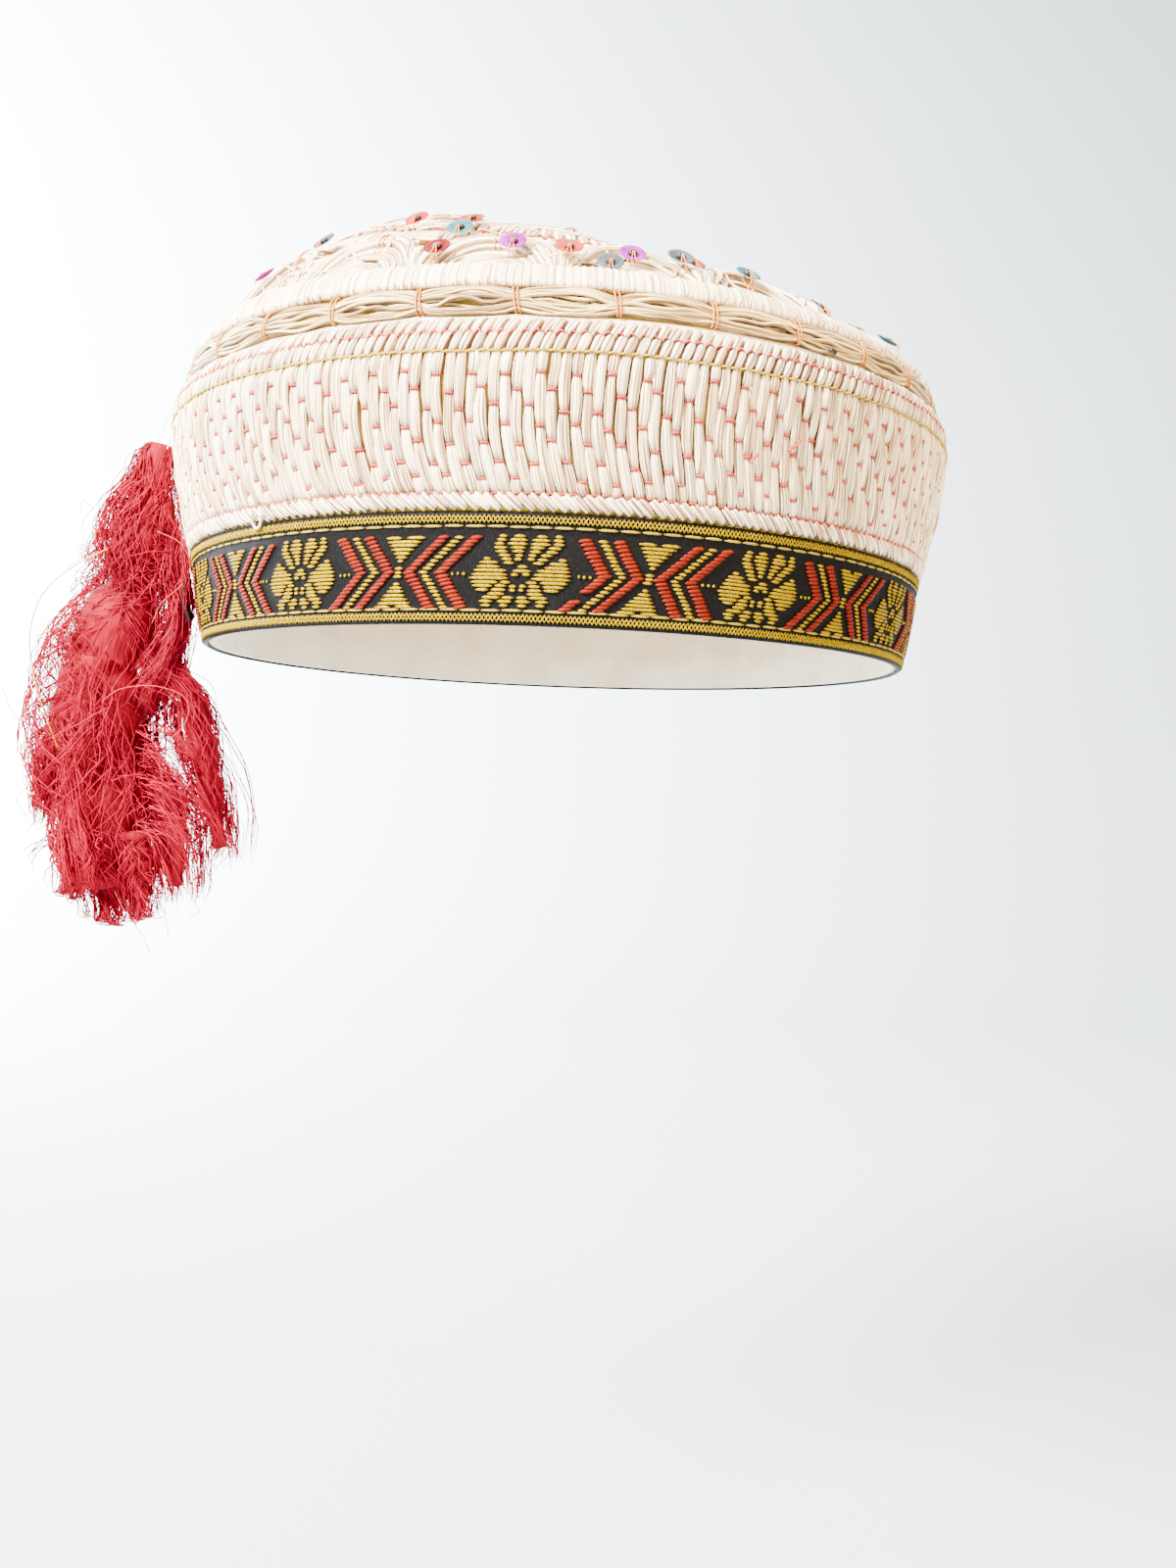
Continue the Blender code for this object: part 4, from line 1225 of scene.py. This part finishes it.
BEAD = [(0.56 + 0.36 * math.cos(TAU * i / 9), 0.66 + 0.42 * math.sin(TAU * i / 9)) for i in range(9)]
SEQUIN_THREAD = [(0.0, 0.5), (0.15, 1.15), (0.8, 1.25), (1.7, 0.75), (2.7, 0.75), (3.1, 0.0), (3.7, -1.6)]


def sequin_frame(node, tip):
    """The foot and axes of a CAD sequin, tipped towards the rim where it faces the front."""
    points = np.array([v.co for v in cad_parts[node].data.vertices]) / MM
    middle = points.mean(axis=0)
    axes = np.linalg.svd(points - middle)[2]
    up = axes[2] if axes[2][2] > 0 else -axes[2]
    foot = middle + up * ((points - middle) @ up).min()
    downhill = unit(np.array([foot[0], foot[1], 0.0]))
    up = unit(up + tip * max(0.0, -downhill[1]) * downhill)
    side = unit(np.cross(up, [0.0, 0.0, 1.0]))
    return foot + SEQUIN_LIFT * up, side, np.cross(up, side), up


def revolved(foot, side, ahead, up, profile, steps):
    """A profile of radii and heights turned round a sequin's axis."""
    angle = np.arange(steps) * TAU / steps
    rows = []
    for radius, height in profile:
        around = np.cos(angle)[:, None] * side + np.sin(angle)[:, None] * ahead
        rows.append(foot + radius * around + height * up)
    return np.stack(rows)


def build_sequins():
    beads, threads = Pile(50), Pile(51)
    groups = {colour: Pile(52 + i) for i, colour in enumerate(FILM)}
    nodes = {colour: [] for colour in FILM}
    random = np.random.default_rng(9)
    for number, colour in enumerate(SEQUIN_COLOURS, 1):
        name = f"sequin_{number:02d}"
        foot, side, ahead, up = sequin_frame(name, random.uniform(*SEQUIN_TIP))
        groups[colour].sheet(revolved(foot, side, ahead, up, DISC, 24), ring=True)
        nodes[colour].append(name)
        beads.sheet(revolved(foot, side, ahead, up, BEAD, 16), ring=True)
        # the thread comes up through the bead and goes down over the disc's edge
        down = unit(np.array([foot[0], foot[1], 0.0]))
        along = unit(down - up * (down @ up))
        for spread in (-0.16, 0.2):
            way = unit(along + spread * np.cross(up, along))
            path = np.array([foot + way * out + up * high for out, high in SEQUIN_THREAD])
            threads.tubes(path[None], up, 0.12, 0.12, round_section(5), tint=[random.uniform()])
    for colour, pile in groups.items():
        film = sequin_material("film_" + colour, *FILM[colour])
        piece = pile.build("sequins_" + colour, film, "sequin_" + colour)
        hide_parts(*nodes[colour])
    beads.build("sequin_beads", bead_material("glass_bead"), None)
    threads.build("sequin_threads", ORANGE, None)


# ---------------------------------------------------------------- tassel
def lock_curve(stations, count):
    """Places and radii along a lock, smoothly through its stations."""
    stations = np.array(stations)
    knots = np.arange(len(stations))
    at = np.linspace(0, len(stations) - 1, count)
    kernel = np.hanning(max(3, count // 6 * 2 + 1))
    kernel /= kernel.sum()
    pad = len(kernel) // 2
    smooth = []
    for column in range(3):
        value = np.interp(at, knots, stations[:, column])
        padded = np.concatenate([
            2 * value[0] - value[pad:0:-1], value, 2 * value[-1] - value[-2 : -pad - 2 : -1]
        ])
        smooth.append(np.convolve(padded, kernel, mode="valid"))
    return np.stack(smooth, -1)


def tassel_place(outward, drop, forward):
    """A place in the tassel, from shares of its spread, drop and thickness."""
    y = TASSEL_FORWARD - forward * TASSEL_RADIUS * TASSEL_FLATNESS
    return np.stack([TASSEL_ROOT - outward * TASSEL_SPREAD, y, TASSEL_TOP - drop * TASSEL_DROP], -1)


def tassel_material(name, light, dark, fine):
    """Teased red floss, in clumps of two shades."""
    n = Nodes(name)
    fibre = n.strands(fine, 0.15)
    clump = n.noise(220, 4)
    base = n.mix(n.value("tint"), light, dark)
    base = n.mix(n.ramp(clump, (0.40, (0, 0, 0)), (0.62, (0.85, 0.85, 0.85))), base, light)
    n.colour(n.mix(0.5, base, n.ramp(fibre, (0.35, dark), (0.58, light))))
    n.bump(fibre, 0.7, 0.0004)
    n.set(Roughness=0.6, Specular_IOR_Level=0.05, Sheen_Weight=0.03, Sheen_Roughness=0.5)
    n.shader.inputs["Sheen Tint"].default_value = (1.0, 0.10, 0.14, 1)
    return n.material


def wandering(random, count, points, size):
    """Smooth random swings along each of a number of fibres."""
    share = np.linspace(0, 1, points)[None]
    swing = np.zeros((count, points))
    for turns in (0.5, 1.1, 2.3, 4.1):
        swing += random.normal(0, 1, (count, 1)) / turns**1.2 * np.sin(
            TAU * turns * share + random.uniform(0, TAU, (count, 1))
        )
    return size * (swing - swing[:, :1])


def tassel_half(z):
    """Half width of the wall and ribbon, which the fibres keep off."""
    return np.interp(z, [-3.0, 0.0, 20.0, 23.0, 45.0, 55.0], [60.0, 83.4, 86.8, 88.6, 92.2, 91.0])


def lock_fibres(pile, centre, radius, amount, length, points, curl, spread, twist):
    """Teased fibres in tufts that set off inside a lock and wander along it."""
    random = pile.random
    count = len(centre)
    whole = np.linalg.norm(np.diff(centre, axis=0), axis=1).sum()
    tufts = max(5, amount // 11)
    pick = random.integers(0, tufts, amount)
    span = random.uniform(*length, (amount, 1)) / whole
    start = random.uniform(-0.15, 0.92, (tufts, 1))[pick] + random.normal(0, 0.03, (amount, 1))
    start = np.maximum(start, 0)
    late = np.maximum(1.04 - span, 0) + random.normal(0, 0.02, (amount, 1))
    start = np.where(start + span > 1.04, late, start)
    at = start + span * np.linspace(0, 1, points)[None]
    over = np.clip(at - 1, 0, None) * whole
    index = np.clip(at, 0, 1) * (count - 1)
    base = np.stack([np.interp(index, np.arange(count), centre[:, k]) for k in range(3)], -1)
    thick = np.interp(index, np.arange(count), radius)
    angle = random.uniform(0, TAU, (tufts, 1))[pick] + random.normal(0, 0.22, (amount, 1)) + twist * at
    angle = angle + wandering(random, tufts, points, 0.34)[pick]
    rho = np.sqrt(random.uniform(0.25, 1.0, (tufts, 1)))[pick] * spread + random.normal(0, 0.07, (amount, 1))
    rho = np.clip(rho + wandering(random, tufts, points, 0.06)[pick], 0.05, 1.16)
    for axis, flat in ((0, 1.0), (1, TASSEL_FLATNESS), (2, 0.6)):
        base[..., axis] += wandering(random, tufts, points, curl)[pick] * flat
        base[..., axis] += wandering(random, amount, points, 0.45 * curl) * flat
    base[..., 0] += thick * rho * np.cos(angle)
    base[..., 1] += thick * rho * np.sin(angle) * TASSEL_FLATNESS
    base[..., 2] -= np.clip(over, 0, 3.5)
    base[..., 0] = np.maximum(base[..., 0], CAD_LOW[0] / MM - 2.5)
    base[..., 1] = np.clip(base[..., 1], TASSEL_FORWARD - 14.5, TASSEL_FORWARD + 14.5)
    base[..., 2] = np.clip(base[..., 2], CAD_LOW[2] / MM - 4.5, TASSEL_TOP + 1.5)
    half = tassel_half(base[..., 2])
    level = np.hypot(base[..., 0] / half, base[..., 1] / (half + OVAL_EXTRA))
    base[..., :2] = np.where((level < 1)[..., None], base[..., :2] / level[..., None], base[..., :2])
    fine = random.uniform(0.09, 0.18, (amount, 1))
    taper = np.clip(1.1 - np.abs(np.linspace(-1, 1, points))[None] ** 4, 0.3, 1)
    tint = np.clip(random.uniform(0, 1, tufts)[pick] + random.normal(0, 0.18, amount), 0, 1)
    pile.tubes(base, TO_CAMERA, fine * taper, fine * taper, round_section(3), tint=tint)


def build_tassel():
    core, fibres, fluff = Pile(60), Pile(61), Pile(62)
    for number, (forward, stations) in enumerate(LOCKS):
        count = 30
        line = lock_curve(stations, count)
        centre = tassel_place(line[:, 0], line[:, 1], np.full(count, forward))
        radius = line[:, 2] * TASSEL_RADIUS
        swell = 0.66 + 0.10 * np.sin(np.arange(count) * 1.1 + number) + 0.06 * np.sin(np.arange(count) * 2.7)
        core.tubes(
            centre[None], np.array([0.0, -1.0, 0.0]), (radius * swell)[None],
            (radius * swell)[None] * TASSEL_FLATNESS, round_section(14),
        )
        whole = np.linalg.norm(np.diff(centre, axis=0), axis=1).sum()
        size = whole * radius.mean()
        twist = 4.0 if number == 0 else 0.8
        lock_fibres(fibres, centre, radius, int(0.66 * size) + 60, (18, 42), 11, 0.55, 1.0, twist)
        lock_fibres(fluff, centre, radius, int(0.26 * size) + 26, (7, 18), 8, 0.85, 1.06, twist)
    # fibres that hang across the gaps between the locks, then between them and the ribbon
    random = fluff.random
    for number in range(220):
        if number < 150:
            x, y = random.uniform(138, 170), random.uniform(735, 850)
            run, fall = random.uniform(25, 58), random.uniform(5, 75)
        else:
            x, y = random.uniform(183, 194), random.uniform(500, 590)
            run, fall = random.uniform(1, 6), random.uniform(30, 70)
        hang = ((0, 0), (0.35, 0.1), (0.8, 0.5), (1, 1))
        places = [(x + across * run, y + down * fall) for across, down in hang]
        line = smooth_line(seen(places, random.uniform(-22.0, -4.0)), 8)
        line += wandering(random, 3, 8, 0.35).T
        fine = random.uniform(0.09, 0.16)
        fluff.tubes(line[None], TO_CAMERA, fine, fine, round_section(3))
    # the core is a darker copy of the fibres' red: painted shade deep inside the locks
    shade = tassel_material("tassel_core_shaded_red", (0.18, 0.0, 0.009), (0.06, 0.0, 0.002), 1.6)
    inner = core.build("tassel_core", shade, "tassel_floss")
    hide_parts("tassel")
    red = tassel_material("tassel_red", (0.31, 0.0, 0.018), (0.13, 0.0, 0.006), 6.0)
    fibres.build("tassel_fibres", red, "tassel_floss")
    fluff.build("tassel_fluff", red, "tassel_floss")


# ---------------------------------------------------------------- loose ends
def seen(places, depth):
    """Points on the upright plane y = depth that the camera sees at these places of the photo."""
    turn = bpy.context.scene.camera.rotation_quaternion
    right, up, ahead = (np.array(turn @ Vector(axis)) for axis in ((1, 0, 0), (0, 1, 0), (0, 0, -1)))
    eye = np.array(CAMERA_PLACE) / MM
    points = []
    for x, y in places:
        ray = ahead * FOCAL_PIXELS + right * (x - FRAME_MIDDLE[0]) - up * (y - FRAME_MIDDLE[1])
        points.append(eye + ray * (depth - eye[1]) / ray[1])
    return np.array(points)


def smooth_line(points, steps):
    """A rounded line through a few points."""
    at = np.linspace(0, len(points) - 1, steps)
    line = np.stack([np.interp(at, np.arange(len(points)), points[:, k]) for k in range(3)], -1)
    for _ in range(3):
        line[1:-1] = (line[:-2] + 2 * line[1:-1] + line[2:]) / 4
    return line


def seen_on_wall(places, out):
    """Points out mm off the front of the wall and ribbon, at places of the frame."""
    points = []
    for place in places:
        near, far = -130.0, 0.0
        for _ in range(24):
            depth = (near + far) / 2
            x, y, z = seen([place], depth)[0]
            half = (wall_half(z) if z > RIBBON_HEIGHT + 1 else ribbon_half(z)) + out
            if math.hypot(x / half, y / (half + OVAL_EXTRA)) > 1:
                near = depth
            else:
                far = depth
        points.append((x, y, z))
    return np.array(points)


def build_loose_ends():
    """The photo's few stray threads: material, radius, then their places and depth."""
    ends = {
        "loose_yellow_thread": (YELLOW, 0.17, [
            ([(110, 560), (72, 578), (40, 606), (28, 650), (34, 690), (46, 730), (60, 765)], -17.0),
        ]),
        "root_stitches": (YELLOW, 0.26, [
            ([(176, 487), (184, 482), (193, 486), (199, 480)], -24.0),
            ([(180, 512), (190, 509), (197, 498), (196, 470), (190, 458)], -26.0),
            ([(186, 500), (194, 492), (200, 474)], -25.0),
        ]),
        "loose_pale_strand": (EDGE_FLOSS, 0.16, [
            ([(206, 372), (190, 392), (172, 424), (160, 452)], -12.0),
            ([(186, 418), (176, 436), (171, 458)], -14.0),
        ]),
        "ribbon_end": (SATIN, 0.9, [
            ([(193, 590), (188, 602), (188, 618), (194, 634)], -12.0),
        ]),
        "loose_red_hairs": (PINK, 0.10, [
            ([(160, 542), (184, 552), (196, 574), (186, 598), (164, 614), (155, 636)], -20.0),
            ([(104, 716), (120, 702), (156, 698), (188, 708), (194, 724), (188, 742), (176, 752)], -20.0),
            ([(116, 908), (128, 932), (146, 954), (153, 974)], -12.0),
            ([(164, 886), (170, 914), (168, 934), (172, 956)], -12.0),
            ([(186, 902), (198, 918), (204, 930), (192, 937)], -12.0),
            ([(30, 750), (10, 722), (2, 700)], -10.0),
            ([(30, 800), (16, 816), (26, 832)], -10.0),
            ([(96, 520), (84, 508), (82, 524)], -12.0),
        ]),
    }
    for seed, (name, (material, radius, lines)) in enumerate(ends.items(), 70):
        pile = Pile(seed)
        for places, depth in lines:
            line = smooth_line(seen(places, depth), 26)
            pile.tubes(line[None], TO_CAMERA, radius, radius, round_section(5))
        pile.build(name, material, None)
    # bits on the wall: material, radius, how far off it, then their places
    bits = {
        "white_loop": (EDGE_FLOSS, 0.32, 0.8, [
            [(258, 522), (257, 531), (259, 538), (262, 541), (265, 538), (267, 531), (267, 522)],
        ]),
        "loose_red_threads": (PINK, 0.30, 0.25, [
            [(805, 460), (809, 456), (812, 456), (817, 449)],
            [(766, 473), (769, 467), (771, 466), (774, 463)],
        ]),
        "dark_knot": (bead_material("knot_dark"), 0.62, 1.1, [[(847, 357), (849, 358), (852, 360)]]),
    }
    for seed, (name, (material, radius, out, lines)) in enumerate(bits.items(), 80):
        pile = Pile(seed)
        for places in lines:
            line = smooth_line(seen_on_wall(places, out), 16)
            pile.tubes(line[None], TO_CAMERA, radius, radius, round_section(6))
        pile.build(name, material, None)


# ---------------------------------------------------------------- floor, backdrop and light
FLOOR_Z = -0.25


def stage_material(name, colour, variation):
    """Matt paper, faintly cloudy."""
    n = Nodes(name)
    n.colour(n.mix(n.ramp(n.noise(3, 2), (0.3, (0, 0, 0)), (0.7, (1, 1, 1))), colour, variation))
    n.set(Roughness=0.9)
    return n.material


def build_stage():
    """A floor that curves up into the backdrop."""
    mesh = bpy.data.meshes.new("floor")
    profile = [(-1.6, 0.0), (1.1, 0.0)]
    for i in range(1, 9):
        angle = math.pi / 2 * i / 8
        profile.append((1.1 + 0.6 * math.sin(angle), 0.6 - 0.6 * math.cos(angle)))
    profile.append((1.7, 3.0))
    points, faces = [], []
    for y, z in profile:
        points += [(-4.0, y, FLOOR_Z + z), (4.0, y, FLOOR_Z + z)]
    for i in range(len(profile) - 1):
        faces.append((2 * i, 2 * i + 1, 2 * i + 3, 2 * i + 2))
    mesh.from_pydata(points, [], faces)
    for face in mesh.polygons:
        face.use_smooth = True
    mesh.materials.append(stage_material("paper", (0.36, 0.40, 0.42), (0.345, 0.388, 0.41)))
    floor = bpy.data.objects.new("floor", mesh)
    bpy.context.scene.collection.objects.link(floor)


def add_area(name, place, target, size, power, colour, spread=180):
    data = bpy.data.lights.new(name, "AREA")
    data.shape = "RECTANGLE"
    data.size, data.size_y = size
    data.energy = power
    data.spread = math.radians(spread)
    data.color = colour
    light = bpy.data.objects.new(name, data)
    bpy.context.scene.collection.objects.link(light)
    light.location = place
    light.rotation_mode = "QUATERNION"
    light.rotation_quaternion = (Vector(target) - Vector(place)).to_track_quat("-Z", "Y")


def build_light():
    world = bpy.data.worlds.new("studio")
    bpy.context.scene.world = world
    world.use_nodes = True
    background = world.node_tree.nodes["Background"]
    background.inputs["Color"].default_value = (1.0, 0.98, 0.95, 1)
    background.inputs["Strength"].default_value = 0.70
    add_area("key", (-0.9, -0.9, 0.8), (0, 0, 0.03), (0.5, 0.5), 108, (1.0, 0.97, 0.92), spread=100)
    add_area("fill", (1.1, -1.1, 0.5), (0, 0, 0.03), (1.0, 1.0), 26, (1.0, 0.76, 0.48), spread=90)
    add_area("top", (0.0, 0.2, 1.2), (0, 0, 0.05), (1.0, 1.0), 40, (1, 1, 1))
    add_area("left_wash", (-1.3, 0.7, 0.5), (-1.1, 1.7, 0.2), (0.7, 1.2), 760, (1, 1, 1))
    add_area("floor_wash", (-1.0, 0.5, 0.4), (-0.9, 0.5, -0.25), (0.6, 0.8), 110, (1, 1, 1))


build_wall_cloth()
build_wall_floss()
build_edge_rows()
build_ribbon()
build_crown_cloth()
build_crown_floss()
build_rope()
build_padded_ring()
build_sequins()
build_tassel()
build_loose_ends()
build_stage()
build_light()
